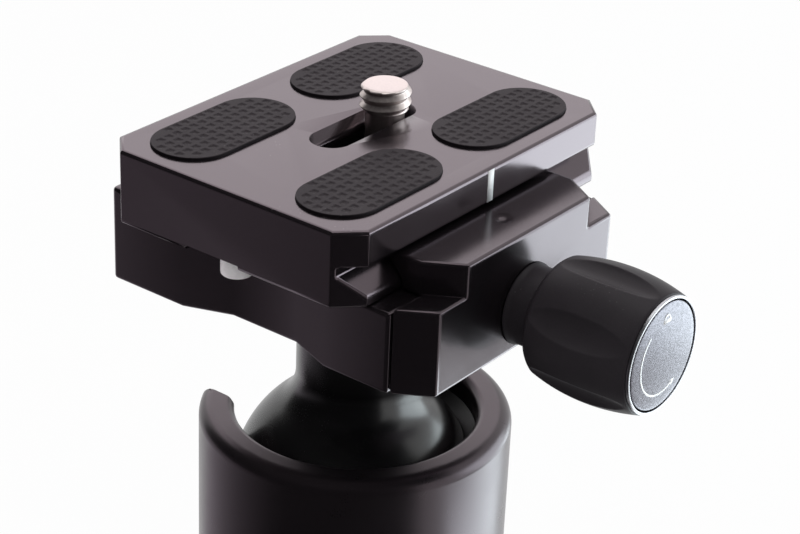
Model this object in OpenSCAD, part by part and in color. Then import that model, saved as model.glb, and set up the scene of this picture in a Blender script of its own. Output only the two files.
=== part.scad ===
// Small ball head: a panning base, a socket body with a drop notch, a ball on a stem,
// and a screw clamp that holds a 38 mm dovetail plate with a camera screw.
// Origin: centre of the base's underside. +Z up, +X towards the clamp knob,
// +Y along the dovetail.

/* [Body] */
// Outer radius of the socket body
body_r = 20; // [19.5:0.1:22]
// Height of the socket body, from its foot to its rim
body_h = 49.5; // [45:0.5:56]
// Width of the flat top of the rim
rim_w = 2.6; // [2.2:0.1:2.8]
// Depth of the ball's centre below the rim
ball_below_rim = 12.1; // [11.6:0.1:12.6]
// Width of the notch that the stem drops into
notch_w = 19.5; // [19.2:0.1:21]

/* [Panning base] */
// Outer radius of the base at the table
base_r = 21; // [20.5:0.5:24]
// Height of the base's visible disc
base_h = 8.5; // [8:0.5:12]
// Radius of the spindle that the body turns on
spindle_r = 9; // [8:0.5:10]
// Height of the spindle above the base's disc
spindle_h = 6; // [5.2:0.1:7]
// Thickness of the thrust washer between base and body
washer_t = 0.5; // [0.4:0.1:1]
// Wall radius of the 3/8 inch tripod thread
tripod_thread_r = 4.76; // [3.2:0.01:4.8]
// Depth of the tripod thread
tripod_thread_l = 8; // [6:0.5:10]

/* [Ball] */
// Radius of the ball
ball_r = 15.8; // [15.6:0.1:16]
// Radius of the stem
stem_r = 7.75; // [6.5:0.05:7.8]
// Radius of the stem's flared root, where it leaves the ball
stem_root_r = 9.2; // [8.6:0.1:9.3]
// Height of the clamp's underside above the ball's centre
stem_reach = 29.9; // [28:0.1:34]
// Wall of the sliding liner under the ball
liner_t = 0.5; // [0.4:0.1:0.6]

/* [Ball lock] */
// Radius of the wedge plunger
plunger_r = 4; // [3.6:0.1:4.2]
// Travel of the plunger from locked to free
plunger_travel = 1.25; // [0.5:0.05:1.5]
// Slope of the plunger's wedge, degrees
wedge_angle = 15; // [8:1:16]
// Radius of the lock screw's thread
lock_screw_r = 3; // [2.4:0.1:3.2]
// Largest radius of the lock knob
lock_knob_r = 10.4; // [8.5:0.1:11]
// Length of the lock knob
lock_knob_l = 17; // [13:0.5:22]

/* [Pan lock] */
// Radius of the pan lock's screw and pad
pan_screw_r = 1.5; // [1.3:0.1:1.6]
// Travel of the pan lock's pad from locked to free
pan_travel = 0.4; // [0.2:0.05:0.6]
// Largest radius of the pan lock's knob
pan_knob_r = 6.6; // [5.5:0.1:7]
// Length of the pan lock's knob
pan_knob_l = 11; // [9:0.5:15]

/* [Dovetail plate] */
// Width of the plate across the dovetail
plate_w = 38; // [37:0.1:39]
// Length of the plate along the dovetail
plate_l = 51; // [50:0.5:60]
// Thickness of the plate
plate_t = 9.5; // [9.2:0.1:11]
// Height of the plate's upper lip
lip_h = 4.5; // [4:0.1:4.8]
// Depth of the dovetail's 45 degree flank
flank = 2.6; // [2.2:0.1:2.8]
// Height of the dovetail's straight lower edge
edge_h = 1.35; // [1:0.05:1.6]
// Chamfer on the plate's upright corners
corner_c = 3; // [1:0.5:4]
// Offset of the plate's middle from the ball's axis along X
plate_x = -1.5; // [-2:0.1:0]
// Offset of the plate's middle from the ball's axis along Y, at rest
plate_y = 1.5; // [0:0.1:1.8]
// Length of a rubber pad
pad_l = 21; // [18:0.5:22]
// Width of a rubber pad
pad_w = 10.3; // [9:0.1:10.4]
// Height of a rubber pad above the plate
pad_up = 0.35; // [0.2:0.05:0.8]
// Radius of a stop screw's head
stop_r = 2; // [1.6:0.1:2.1]
// Drop of a stop screw's head below the plate
stop_down = 2; // [1:0.1:3]

/* [Camera screw] */
// Radius of the 1/4 inch camera thread
camera_thread_r = 3.175; // [3:0.025:3.175]
// Height of the camera thread's tip above the plate
camera_thread_up = 4; // [3:0.1:5]
// Radius of the screw's thinner shank
camera_shank_r = 2.4; // [2:0.1:2.6]
// Radius of the screw's head under the plate
camera_head_r = 6; // [5:0.1:6.1]
// Length of the slot that the screw slides in
slot_l = 17.5; // [15:0.5:18.5]
// Place of the screw along the plate, from its middle, at rest
camera_screw_y = 4.2; // [0:0.1:4.4]

/* [Clamp] */
// Height of the clamp's floor above its underside
clamp_floor_h = 10.3; // [10.2:0.1:12]
// Wall of the fixed jaw outside the plate
fixed_wall = 2; // [1.6:0.1:4]
// Length of the clamp body along the dovetail
clamp_l = 41; // [40:0.5:44]
// Gap between the plate's free edge and the end of the clamp body's floor
floor_past_plate = 2.8; // [2:0.1:4]
// Least depth of the recess that takes the stop screws, in each end of the clamp body
end_recess = 2.3; // [1.5:0.1:2.6]
// Thickness of the moving jaw's lower part
jaw_t = 4.5; // [4:0.1:6]
// Half length of the moving jaw's outer face, low part
jaw_low_y = 17.3; // [16.5:0.1:18]
// Half length of the moving jaw's outer face, raised part
jaw_high_y = 12.2; // [10:0.1:14]
// Travel of the moving jaw
jaw_travel = 2.5; // [2:0.1:3]
// Radius of the clamp screw's thread
clamp_screw_r = 3; // [2.5:0.1:3.2]
// Largest radius of the clamp knob
clamp_knob_r = 8.3; // [7.4:0.1:8.6]
// Length of the clamp knob
clamp_knob_l = 14.9; // [12:0.1:18]
// Length of the collar between jaw and clamp knob
collar_l = 3.9; // [3:0.1:6]

/* [Hidden] */
$fn = 96;

black = [0.13, 0.125, 0.13];
dark = [0.22, 0.21, 0.215];
steel = [0.72, 0.71, 0.7];
brass = [0.8, 0.66, 0.36];
white_plastic = [0.9, 0.9, 0.88];
rubber_grey = [0.17, 0.17, 0.175];
cap_grey = [0.5, 0.5, 0.53];

// Running clearance of a turning or sliding fit, on the radius
fit = 0.05;
// Clearance of a screw or bush that stands still in its hole
seat = 0.02;
// Clearance of a cut that only has to be clear
clear = 0.4;
// Overshoot of a cutting solid past the face it opens
over = 1;
// Free room past the end of a blind hole
hole_end = 0.3;
// Broken edge of a turned or milled part
edge_c = 0.35;

// Levels of the stack, from the table up
body_z = base_h + washer_t;
rim_z = body_z + body_h;
ball_z = rim_z - ball_below_rim;
clamp_z = ball_z + stem_reach;
plate_z = clamp_z + clamp_floor_h;
plate_top = plate_z + plate_t;
plate_web = lip_h + 0.3;
plate_web_z = plate_top - plate_web;

// Radii of the socket, from the ball outwards
liner_in_r = ball_r + fit;
liner_out_r = liner_in_r + liner_t;
cup_seat_r = liner_out_r + fit;
bore_r = cup_seat_r + 0.3;
rim_bevel = 0.7;
rim_round = 1.9;
mouth_r = body_r - rim_round - rim_w;
ring_low = 3;
ring_high = 8.6;
ring_land = 7.2;
root_room = 0.5;
liner_low = 14.2;
liner_high = stem_root_r + 2 * root_room;

// Pressure cup and the wedge under it
cup_top = stem_root_r + root_room;
cup_floor = 1.6;
cup_z = ball_z - ball_r - cup_floor;
cup_hole_r = 6.9;
cup_drop = plunger_travel * tan(wedge_angle);
cup_play = 0.06;
cup_side = 0.1;
socket_floor_z = cup_z - cup_drop - cup_play;
lock_web = 1.4;
lock_z = cup_z - plunger_r - lock_web;
wedge_mid = 1.5;
foot_w = 5;
foot_half = 5;
plunger_tip_y = 7;
bush_wall = 1.5;
bush_r = lock_screw_r + bush_wall;
bush_l = 6;
bush_stand = 0.3;
bush_end_y = -(body_r + bush_stand - bush_l);
plunger_back_y = bush_end_y + plunger_travel + over;
lock_knob_gap = 0.6;

// Spindle groove and pan lock
groove_play = 0.2;
groove_land = 0.9;
groove_w = 2 * (pan_screw_r + groove_play);
groove_d = pan_travel + 0.9;
groove_z = body_z + pan_screw_r + groove_land;
pan_pad_l = 4;
pan_pad_x = spindle_r - groove_d + fit;
pan_knob_gap = 0.4;
retain_l = 8.5;
retain_key = 1.6;
retain_angles = [120, 240];
insert_wall = 1.8;
base_side_h = 3;
base_top_c = 0.4;
washer_in = 3;

// Knobs
flutes = 6;
cap_deep = 1.2;
cap_gap = 0.2;
cap_rim_w = 0.35;
cap_dome = 0.25;
knob_rim_h = 0.45;
knob_fall = 0.128;
knob_neck_h = 0.9;
knob_foot_c = 1;
pan_cap_in = 0.9;
pan_flute_r = 2.8;
pan_flute_deep = 0.6;
lock_flute_r = 4.2;
lock_flute_deep = 0.95;
clamp_flute_r = 3.4;
clamp_flute_deep = 0.85;
first_flute = 30;
clamp_first_flute = 6;

// Plate and camera screw
under_c = 0.2;
pad_deep = 0.6;
pad_side = 2.65;
pad_end = 2.3;
pad_x = plate_w / 2 - pad_w / 2 - pad_side;
pad_y = plate_l / 2 - pad_l / 2 - pad_end;
slot_play = 0.3;
slot_w = 2 * (camera_shank_r + slot_play);
well_w = 2 * camera_head_r + 1;
camera_head_h = 3.6;
camera_washer_t = 0.5;
camera_washer_in = 0.3;
washer_play = 0.15;
camera_washer_z = plate_web_z - washer_play - camera_washer_t;
camera_head_z = camera_washer_z - fit - camera_head_h;
camera_neck_h = 0.5;
camera_key = 4;
coin_w = 1.8;
coin_deep = 1.4;
thread_tip_c = 0.45;
screw_y = plate_y + camera_screw_y;
stop_in = 2.7;
stop_y = plate_l / 2 - stop_in;
stop_shank_r = 1.25;
stop_deep = 4.9;
stop_key = 1.5;

// Clamp
floor_end_x = plate_x + plate_w / 2 + floor_past_plate;
fixed_x = plate_x - plate_w / 2 - fit - fixed_wall;
jaw_gap = 0.1;
jaw_x = floor_end_x + jaw_gap;
jaw_out_x = jaw_x + jaw_t;
jaw_low_z = plate_z + 0.5;
jaw_high_z = plate_top - lip_h - 0.45;
jaw_drop = 0.1;
hook_tip = flank - 0.3;
fixed_high_y = 14;
fixed_low_z = plate_z + 2;
hook_c = 0.6;
jaw_inset = 0.3;
bevel_run = clamp_l / 2 - jaw_inset - jaw_low_y;
dimple_r = 1.6;
dimple_x = 0.2;
dimple_y = 0.4;
recess_floor = 9.8;
recess_mouth = 22;
stop_gap = 1.1;
recess_y = min(clamp_l / 2 - end_recess, stop_y - plate_y - stop_r - stop_gap);
clamp_axis_z = clamp_z + clamp_floor_h / 2 + 0.15;
bolt_head_r = 5;
bolt_head_h = 5.6;
bolt_down = 0.3;
bolt_key = 5;
bolt_r = 3;
bolt_l = 16;
bolt_top_z = plate_z - bolt_down;
well_r = bolt_head_r + 0.2;
spigot_r = 5;
spigot_h = 1.5;
screw_tip_x = well_r + 1.6;
pin_r = 1.5;
pin_y = 12.5;
pin_held = 7.8;
pin_end_x = floor_end_x - jaw_travel - pin_held;
pin_in_jaw = 3.2;
spring_gap = 0.35;
spring_wire = 0.35;
spring_r = pin_r + spring_gap + spring_wire;
spring_short = 3.5;
spring_l = jaw_travel + spring_short;
spring_turns = 4.5;
collar_r = 4.7;
collar_foot = 0.5;

// ---- shared shapes ----

// Turns +Z to +X
module to_x() rotate([0, 90, 0]) children();

// Turns +Z to -Y
module to_front() rotate([90, 0, 0]) children();

// Disc between two heights
module disc(r, z0, z1) translate([0, 0, z0]) cylinder(r = r, h = z1 - z0);

// Flat outline with two round ends, long side along Y
module stadium(l, w) {
  square([w, l - w], center = true);
  for (s = [-1, 1]) translate([0, s * (l - w) / 2]) circle(d = w);
}

// Hexagonal key socket, opening upwards at z = 0
module hex_socket(across, deep) {
  translate([0, 0, -deep]) cylinder(d = across / cos(30), h = deep + over, $fn = 6);
}

// Half outline of a knob: a round belly between two narrower ends
module knob_outline(r, l, end_r, chamfer) {
  belly = ((l / 2) * (l / 2) + (r - end_r) * (r - end_r)) / (2 * (r - end_r));
  intersection() {
    translate([r - belly, l / 2]) circle(r = belly, $fn = 240);
    polygon([[0, 0], [end_r - knob_foot_c, 0], [end_r, knob_neck_h], [r + over, knob_neck_h],
      [r + over, l - chamfer], [end_r, l - chamfer], [end_r - chamfer, l], [0, l]]);
  }
}

// Fluted knob along +Z, from z = 0 to l, with a recess for its cap and a hole for its screw;
// it ends rim_h short of l where a rim ring is let in
module fluted_knob(r, l, end_r, flute_r, flute_deep, first, cap_r, screw_r, rim_h = 0) {
  difference() {
    rotate_extrude() knob_outline(r, l, end_r, edge_c);
    for (i = [0:flutes - 1]) rotate([0, 0, first + i * 360 / flutes])
      translate([r + flute_r - flute_deep, 0, -over]) cylinder(r = flute_r, h = l + 2 * over);
    disc(r + over, l - rim_h, l + over);
    disc(cap_r, l - cap_deep, l + over);
    disc(screw_r + seat, -over, l - cap_deep - over);
  }
}

// Ring round the end of a knob, outside its cap
module knob_rim(l, end_r, cap_r) rotate_extrude() polygon([
  [cap_r, l - knob_rim_h + seat], [end_r, l - knob_rim_h + seat],
  [end_r - 0.05, l - 0.15], [end_r - 0.15, l], [cap_r, l]]);

// Slightly domed cap in the knob's recess
module knob_cap(l, cap_r) {
  cap_in = cap_r - cap_gap;
  big = (cap_in * cap_in + cap_dome * cap_dome) / (2 * cap_dome);
  intersection() {
    disc(cap_in, l - cap_deep + seat, l + cap_dome);
    translate([0, 0, l + cap_dome - fit - big]) sphere(r = big, $fn = 200);
  }
}

// Room for the stem at the notch: round floor at the ball's centre, open at the top
module notch_cut(w) {
  translate([0, 0, ball_z]) rotate([0, -90, 0]) cylinder(d = w, h = body_r + over);
  translate([-body_r - over, -w / 2, ball_z]) cube([body_r + over, w, ball_below_rim + over]);
}

// ---- panning base ----

module pan_base() color(black) difference() {
  union() {
    rotate_extrude() polygon([[0, 0], [base_r - edge_c, 0], [base_r, edge_c], [base_r, base_side_h],
      [body_r, base_h - base_top_c], [body_r - base_top_c, base_h], [0, base_h]]);
    disc(spindle_r, base_h - over, base_h + spindle_h);
  }
  disc(tripod_thread_r + insert_wall + seat, -over, tripod_thread_l + seat);
  translate([0, 0, groove_z - groove_w / 2]) rotate_extrude()
    translate([spindle_r - groove_d, 0]) square([groove_d + over, groove_w]);
}

module base_thread_insert() color(steel) difference() {
  disc(tripod_thread_r + insert_wall, 0, tripod_thread_l);
  disc(tripod_thread_r, -over, tripod_thread_l + over);
}

module pan_thrust_washer() color(white_plastic) difference() {
  disc(body_r - washer_in, base_h, body_z);
  disc(spindle_r + clear, base_h - over, body_z + over);
}

// ---- socket body ----

module socket_outline() difference() {
  translate([0, body_z]) union() {
    polygon([[0, 0], [body_r - edge_c, 0], [body_r, edge_c], [body_r, body_h - rim_round],
      [body_r - rim_round, body_h], [0, body_h]]);
    intersection() {
      translate([body_r - rim_round, body_h - rim_round]) circle(r = rim_round);
      square([body_r, body_h]);
    }
  }
  square([bore_r, over], center = true);
}

module socket_body() color(black) difference() {
  rotate_extrude() socket_outline();
  // spindle bore
  disc(spindle_r + fit, body_z - over, base_h + spindle_h + hole_end);
  // ball bore, and the narrower mouth above its shoulder
  disc(bore_r, socket_floor_z, ball_z + ring_high);
  disc(mouth_r, socket_floor_z, rim_z + over);
  translate([0, 0, rim_z - rim_bevel])
    cylinder(r1 = mouth_r, r2 = mouth_r + rim_bevel + over, h = rim_bevel + over);
  notch_cut(notch_w);
  // plunger bore and the seat of its bush
  translate([0, plunger_tip_y + 1, lock_z]) to_front()
    cylinder(r = plunger_r + fit, h = body_r + plunger_tip_y + over);
  translate([0, bush_end_y, lock_z]) to_front() cylinder(r = bush_r + seat, h = bush_l + over);
  // pocket for the cup's foot, above the plunger
  translate([-foot_w / 2 - clear, -foot_half - clear, lock_z])
    cube([foot_w + 2 * clear, 2 * foot_half + 2 * clear, cup_z - lock_z]);
  // pan lock bore
  translate([0, 0, groove_z]) to_x() cylinder(r = pan_screw_r + fit, h = body_r + over);
  // bores of the retaining screws
  for (a = retain_angles) rotate([0, 0, a]) translate([0, 0, groove_z]) to_x()
    cylinder(r = pan_screw_r + seat, h = body_r + over);
}

module upper_seat_ring() color(black) difference() {
  disc(bore_r - seat, ball_z + ring_low, ball_z + ring_high - seat);
  translate([0, 0, ball_z]) sphere(r = ball_r + fit);
  translate([0, 0, ball_z + ring_land]) cylinder(r1 = sqrt(ball_r * ball_r - ring_land * ring_land),
    r2 = mouth_r + fit, h = ring_high - ring_land + seat);
  notch_cut(notch_w);
}

module lock_bush() color(brass) translate([0, bush_end_y, lock_z]) to_front() difference() {
  disc(bush_r, 0, bush_l);
  disc(lock_screw_r + fit, -over, bush_l + over);
}

module pan_retaining_screws() color(steel) for (a = retain_angles) rotate([0, 0, a])
  translate([spindle_r - groove_d + groove_play, 0, groove_z]) to_x() difference() {
    cylinder(r = pan_screw_r, h = retain_l);
    translate([0, 0, retain_l]) hex_socket(pan_screw_r, retain_key);
  }

// ---- pan lock ----

pan_knob_x = max(body_r, base_r) + pan_knob_gap;
pan_knob_end_r = pan_knob_r * (1 - knob_fall);
pan_cap_r = pan_knob_end_r - pan_cap_in;

module pan_lock_pad() color(brass) translate([pan_pad_x, 0, groove_z]) to_x()
  cylinder(r = pan_screw_r, h = pan_pad_l);

module pan_lock_screw() color(steel) translate([pan_pad_x + pan_pad_l, 0, groove_z]) to_x()
  cylinder(r = pan_screw_r, h = pan_knob_x + pan_knob_l / 2 - pan_pad_x - pan_pad_l);

module pan_lock_knob() color(dark) translate([pan_knob_x, 0, groove_z]) to_x()
  fluted_knob(pan_knob_r, pan_knob_l, pan_knob_end_r, pan_flute_r, pan_flute_deep,
    first_flute, pan_cap_r, pan_screw_r);

module pan_lock_knob_cap() color(cap_grey) translate([pan_knob_x, 0, groove_z]) to_x()
  knob_cap(pan_knob_l, pan_cap_r);

// ---- ball lock ----

lock_knob_y = body_r + bush_stand + lock_knob_gap;
lock_knob_end_r = lock_knob_r * (1 - knob_fall);
lock_cap_r = lock_knob_end_r - cap_rim_w;

// Height of the wedge's slope at a place along Y
function wedge_z(y) = lock_z + wedge_mid - y * tan(wedge_angle);

module lock_plunger() color(steel) difference() {
  translate([0, plunger_tip_y, lock_z]) to_front()
    cylinder(r = plunger_r, h = plunger_tip_y - plunger_back_y);
  translate([-plunger_r - over, 0, 0]) rotate([90, 0, 90])
    linear_extrude(2 * (plunger_r + over)) polygon([
      [-foot_half - clear - plunger_travel, wedge_z(-foot_half - clear - plunger_travel)],
      [plunger_tip_y + over, wedge_z(plunger_tip_y + over)],
      [plunger_tip_y + over, lock_z + plunger_r + over],
      [-foot_half - clear - plunger_travel, lock_z + plunger_r + over]]);
}

module pressure_cup() color(brass) {
  difference() {
    disc(bore_r - cup_side, cup_z, ball_z - cup_top);
    translate([0, 0, ball_z]) sphere(r = cup_seat_r);
    disc(cup_hole_r, cup_z + cup_floor - seat, ball_z);
  }
  translate([-foot_w / 2, 0, 0]) rotate([90, 0, 90]) linear_extrude(foot_w) polygon([
    [-foot_half, wedge_z(-foot_half) + fit], [foot_half, wedge_z(foot_half) + fit],
    [foot_half, cup_z + cup_floor / 2], [-foot_half, cup_z + cup_floor / 2]]);
}

module lock_screw() color(steel) translate([0, plunger_back_y, lock_z]) to_front()
  cylinder(r = lock_screw_r, h = lock_knob_y + lock_knob_l / 2 + plunger_back_y);

module lock_knob() color(dark) translate([0, -lock_knob_y, lock_z]) to_front()
  fluted_knob(lock_knob_r, lock_knob_l, lock_knob_end_r, lock_flute_r, lock_flute_deep,
    first_flute, lock_cap_r, lock_screw_r, knob_rim_h);

module lock_knob_rim() color(steel) translate([0, -lock_knob_y, lock_z]) to_front()
  knob_rim(lock_knob_l, lock_knob_end_r, lock_cap_r);

module lock_knob_cap() color(cap_grey) translate([0, -lock_knob_y, lock_z]) to_front()
  knob_cap(lock_knob_l, lock_cap_r);

// ---- ball ----

module ball_liner() color(white_plastic) translate([0, 0, ball_z]) intersection() {
  difference() {
    sphere(r = liner_out_r);
    sphere(r = liner_in_r);
  }
  disc(liner_out_r, -liner_low, -liner_high);
}

// Outline of the flared root: an arc that runs out of the ball into the stem
root_s = sqrt(ball_r * ball_r - stem_root_r * stem_root_r);
root_h = 4.7;
root_end = root_s + root_h;
root_arc = (pow(root_end - root_s, 2) + pow(stem_root_r - stem_r, 2)) / (2 * (stem_root_r - stem_r));

module ball_and_stem() color(dark) translate([0, 0, ball_z]) difference() {
  union() {
    sphere(r = ball_r);
    disc(stem_r, 0, stem_reach - seat);
    rotate_extrude() difference() {
      translate([0, root_s - over]) square([stem_root_r + edge_c, root_end - root_s + over]);
      translate([stem_r + root_arc, root_end]) circle(r = root_arc, $fn = 200);
    }
    disc(spigot_r, 0, stem_reach + spigot_h);
  }
  disc(bolt_r + fit, bolt_top_z - bolt_l - hole_end - ball_z, stem_reach + spigot_h + over);
}

// ---- clamp ----

// Section of the fixed side across the dovetail, in X and Z
module fixed_hook_outline() {
  edge_x = plate_x - plate_w / 2 - fit;
  polygon([[fixed_x, plate_z - over], [edge_x, plate_z - over], [edge_x, plate_z + edge_h + fit],
    [edge_x + hook_tip, plate_z + edge_h + fit + hook_tip],
    [edge_x + hook_tip, jaw_high_z], [fixed_x + hook_c, jaw_high_z],
    [fixed_x, jaw_high_z - hook_c]]);
}

// Plan of the clamp body, with the recess in each end
module clamp_plan() difference() {
  translate([fixed_x, -clamp_l / 2]) square([floor_end_x - fixed_x, clamp_l]);
  for (s = [-1, 1]) scale([1, s]) polygon([
    [-recess_mouth / 2, -clamp_l / 2 - over], [recess_mouth / 2, -clamp_l / 2 - over],
    [recess_mouth / 2, -clamp_l / 2], [recess_floor / 2, -recess_y],
    [-recess_floor / 2, -recess_y], [-recess_mouth / 2, -clamp_l / 2]]);
}

module clamp_body() color(dark) difference() {
  union() {
    translate([0, 0, clamp_z]) linear_extrude(clamp_floor_h) clamp_plan();
    translate([fixed_x, -clamp_l / 2, plate_z - over])
      cube([fixed_wall, clamp_l, fixed_low_z - plate_z + over]);
    translate([0, fixed_high_y, 0]) rotate([90, 0, 0])
      linear_extrude(2 * fixed_high_y) fixed_hook_outline();
  }
  // seat of the stem's spigot, and the bolt's bore and head room
  disc(spigot_r + fit, clamp_z - over, clamp_z + spigot_h + hole_end);
  disc(bolt_r + clear, clamp_z, plate_z);
  disc(well_r, bolt_top_z - bolt_head_h, plate_z + over);
  // clamp screw, guide pins and springs
  translate([0, 0, clamp_axis_z]) to_x()
    disc(clamp_screw_r + fit, screw_tip_x - hole_end, floor_end_x + over);
  for (s = [-1, 1]) translate([0, s * pin_y, clamp_axis_z]) to_x() {
    disc(pin_r + fit, pin_end_x - hole_end, floor_end_x + over);
    disc(spring_r + spring_wire + spring_gap, floor_end_x - spring_l, floor_end_x + over);
  }
}

module clamp_bolt() color(steel) difference() {
  union() {
    disc(bolt_head_r, bolt_top_z - bolt_head_h, bolt_top_z);
    disc(bolt_r, bolt_top_z - bolt_l, bolt_top_z - over);
  }
  translate([0, 0, bolt_top_z]) hex_socket(bolt_key, bolt_head_h / 2);
}

// Coil spring along +Z from z = 0 to l: a round wire swept along a helix
module coil_spring(r, wire, l, turns) {
  sides = 8;
  steps = 14;
  n = round(turns * steps);
  rise = (l - 2 * wire) / n;
  points = [for (i = [0:n]) for (k = [0:sides - 1])
    let (a = 360 * i / steps, b = 360 * k / sides, q = r + wire * cos(b))
      [q * cos(a), q * sin(a), wire + i * rise + wire * sin(b)]];
  walls = [for (i = [0:n - 1]) for (k = [0:sides - 1])
    let (m = (k + 1) % sides)
      [i * sides + k, i * sides + m, (i + 1) * sides + m, (i + 1) * sides + k]];
  ends = [[for (k = [sides - 1:-1:0]) k], [for (k = [0:sides - 1]) n * sides + k]];
  polyhedron(points = points, faces = concat(walls, ends), convexity = 8);
}

module jaw_springs() color(steel) for (s = [-1, 1])
  translate([floor_end_x - spring_l + seat, s * pin_y, clamp_axis_z]) to_x()
    coil_spring(spring_r, spring_wire, spring_l - seat, spring_turns);

// Plan of the moving jaw between two X values, with bevelled ends; half is its half length
// at the outer face
module jaw_plan(x0, half) {
  turn_x = jaw_out_x - jaw_t;
  wide = half + bevel_run;
  polygon([[x0, -wide], [turn_x, -wide], [jaw_out_x, -half], [jaw_out_x, half],
    [turn_x, wide], [x0, wide]]);
}

// Section of the moving jaw's hook, in X and Z
module moving_hook_outline() {
  edge_x = plate_x + plate_w / 2 + fit;
  polygon([[edge_x, plate_z + jaw_drop], [jaw_out_x + over, plate_z + jaw_drop],
    [jaw_out_x + over, jaw_high_z], [edge_x - hook_tip, jaw_high_z],
    [edge_x - hook_tip, plate_z + edge_h + fit + hook_tip], [edge_x, plate_z + edge_h + fit]]);
}

module clamp_jaw() color(dark) difference() {
  union() {
    translate([0, 0, clamp_z - jaw_drop]) linear_extrude(jaw_low_z - clamp_z + jaw_drop)
      jaw_plan(jaw_x, jaw_low_y);
    intersection() {
      translate([0, clamp_l, 0]) rotate([90, 0, 0])
        linear_extrude(2 * clamp_l) moving_hook_outline();
      translate([0, 0, plate_z]) linear_extrude(plate_t)
        jaw_plan(plate_x + plate_w / 2 - flank, jaw_high_y);
    }
  }
  // screw hole and pin holes
  translate([jaw_x - over, 0, clamp_axis_z]) to_x()
    cylinder(r = clamp_screw_r + 3 * fit, h = jaw_t + 2 * over);
  for (s = [-1, 1]) translate([jaw_x - over, s * pin_y, clamp_axis_z]) to_x()
    cylinder(r = pin_r + seat, h = pin_in_jaw + over);
  // index dimple on the top
  translate([jaw_x + dimple_x, dimple_y, jaw_high_z - hole_end]) cylinder(r = dimple_r, h = over);
}

module jaw_guide_pins() color(steel) for (s = [-1, 1])
  translate([pin_end_x, s * pin_y, clamp_axis_z]) to_x()
    cylinder(r = pin_r, h = jaw_x + pin_in_jaw - pin_end_x - seat);

// ---- clamp knob ----

collar_x = jaw_out_x + fit;
clamp_knob_x = collar_x + collar_l;
clamp_knob_end_r = clamp_knob_r * (1 - knob_fall) - 0.05;
clamp_cap_r = clamp_knob_end_r - cap_rim_w;

module clamp_screw() color(steel) translate([screw_tip_x, 0, clamp_axis_z]) to_x()
  cylinder(r = clamp_screw_r, h = clamp_knob_x + clamp_knob_l / 2 - screw_tip_x);

module clamp_knob_collar() color(black) translate([collar_x, 0, clamp_axis_z]) to_x() difference() {
  union() {
    disc(collar_r, 0, collar_l);
    cylinder(r1 = collar_r + collar_foot, r2 = collar_r, h = 2 * collar_foot);
  }
  disc(clamp_screw_r + seat, -over, collar_l + over);
}

module clamp_knob() color(black) translate([clamp_knob_x, 0, clamp_axis_z]) to_x()
  fluted_knob(clamp_knob_r, clamp_knob_l, clamp_knob_end_r, clamp_flute_r, clamp_flute_deep,
    clamp_first_flute, clamp_cap_r, clamp_screw_r, knob_rim_h);

module clamp_knob_rim() color(steel) translate([clamp_knob_x, 0, clamp_axis_z]) to_x()
  knob_rim(clamp_knob_l, clamp_knob_end_r, clamp_cap_r);

module clamp_knob_cap() color(cap_grey) translate([clamp_knob_x, 0, clamp_axis_z]) to_x()
  knob_cap(clamp_knob_l, clamp_cap_r);

// ---- plate ----

// Section of the plate across the dovetail, about X = 0 and Z = 0 at its underside
module plate_section() {
  half = plate_w / 2;
  side = [[half - edge_c, plate_t], [half, plate_t - edge_c], [half, plate_t - lip_h],
    [half - flank, plate_t - lip_h], [half - flank, edge_h + flank], [half, edge_h],
    [half, under_c], [half - under_c, 0]];
  polygon(concat(side, [for (i = [len(side) - 1:-1:0]) [-side[i][0], side[i][1]]]));
}

// Side view of the plate, in Y and Z, with its top and bottom edges broken
module plate_side() {
  half = plate_l / 2;
  polygon([[-half, under_c], [-half + under_c, 0], [half - under_c, 0], [half, under_c],
    [half, plate_t - edge_c], [half - edge_c, plate_t], [-half + edge_c, plate_t],
    [-half, plate_t - edge_c]]);
}

// Plan of the plate with its chamfered corners
module plate_plan() {
  w = plate_w / 2;
  l = plate_l / 2;
  polygon([[w, -l + corner_c], [w, l - corner_c], [w - corner_c, l], [-w + corner_c, l],
    [-w, l - corner_c], [-w, -l + corner_c], [-w + corner_c, -l], [w - corner_c, -l]]);
}

module at_pads() for (x = [-1, 1]) for (y = [-1, 1]) translate([x * pad_x, y * pad_y]) children();

module plate_body() color(black) translate([plate_x, plate_y, plate_z]) difference() {
  intersection() {
    rotate([90, 0, 0]) linear_extrude(plate_l + over, center = true) plate_section();
    rotate([90, 0, 90]) linear_extrude(plate_w + over, center = true) plate_side();
    linear_extrude(plate_t) plate_plan();
  }
  translate([0, 0, plate_t - pad_deep]) linear_extrude(over) at_pads() stadium(pad_l, pad_w);
  translate([0, 0, -over]) linear_extrude(plate_t + 2 * over) stadium(slot_l, slot_w);
  translate([0, 0, -over]) linear_extrude(plate_t - plate_web + over)
    stadium(slot_l - slot_w + well_w, well_w);
  for (s = [-1, 1]) translate([0, s * stop_y, 0])
    disc(stop_shank_r + seat, -over, stop_deep + hole_end);
}

module plate_pads() color(rubber_grey) translate([plate_x, plate_y, plate_top - pad_deep + seat])
  linear_extrude(pad_deep + pad_up - seat) at_pads() stadium(pad_l - 2 * fit, pad_w - 2 * fit);

module stop_screws() color(steel) for (s = [-1, 1]) translate([plate_x, plate_y + s * stop_y, plate_z])
  difference() {
    union() {
      disc(stop_r, -stop_down, -seat);
      disc(stop_shank_r, -over, stop_deep);
    }
    translate([0, 0, -stop_down]) mirror([0, 0, 1]) hex_socket(stop_key, stop_down / 2);
  }

module camera_screw_washer() color(white_plastic) translate([plate_x, screw_y, 0]) difference() {
  disc(camera_head_r - camera_washer_in, camera_washer_z, camera_washer_z + camera_washer_t);
  disc(camera_shank_r + fit, camera_head_z, plate_top);
}

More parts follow.
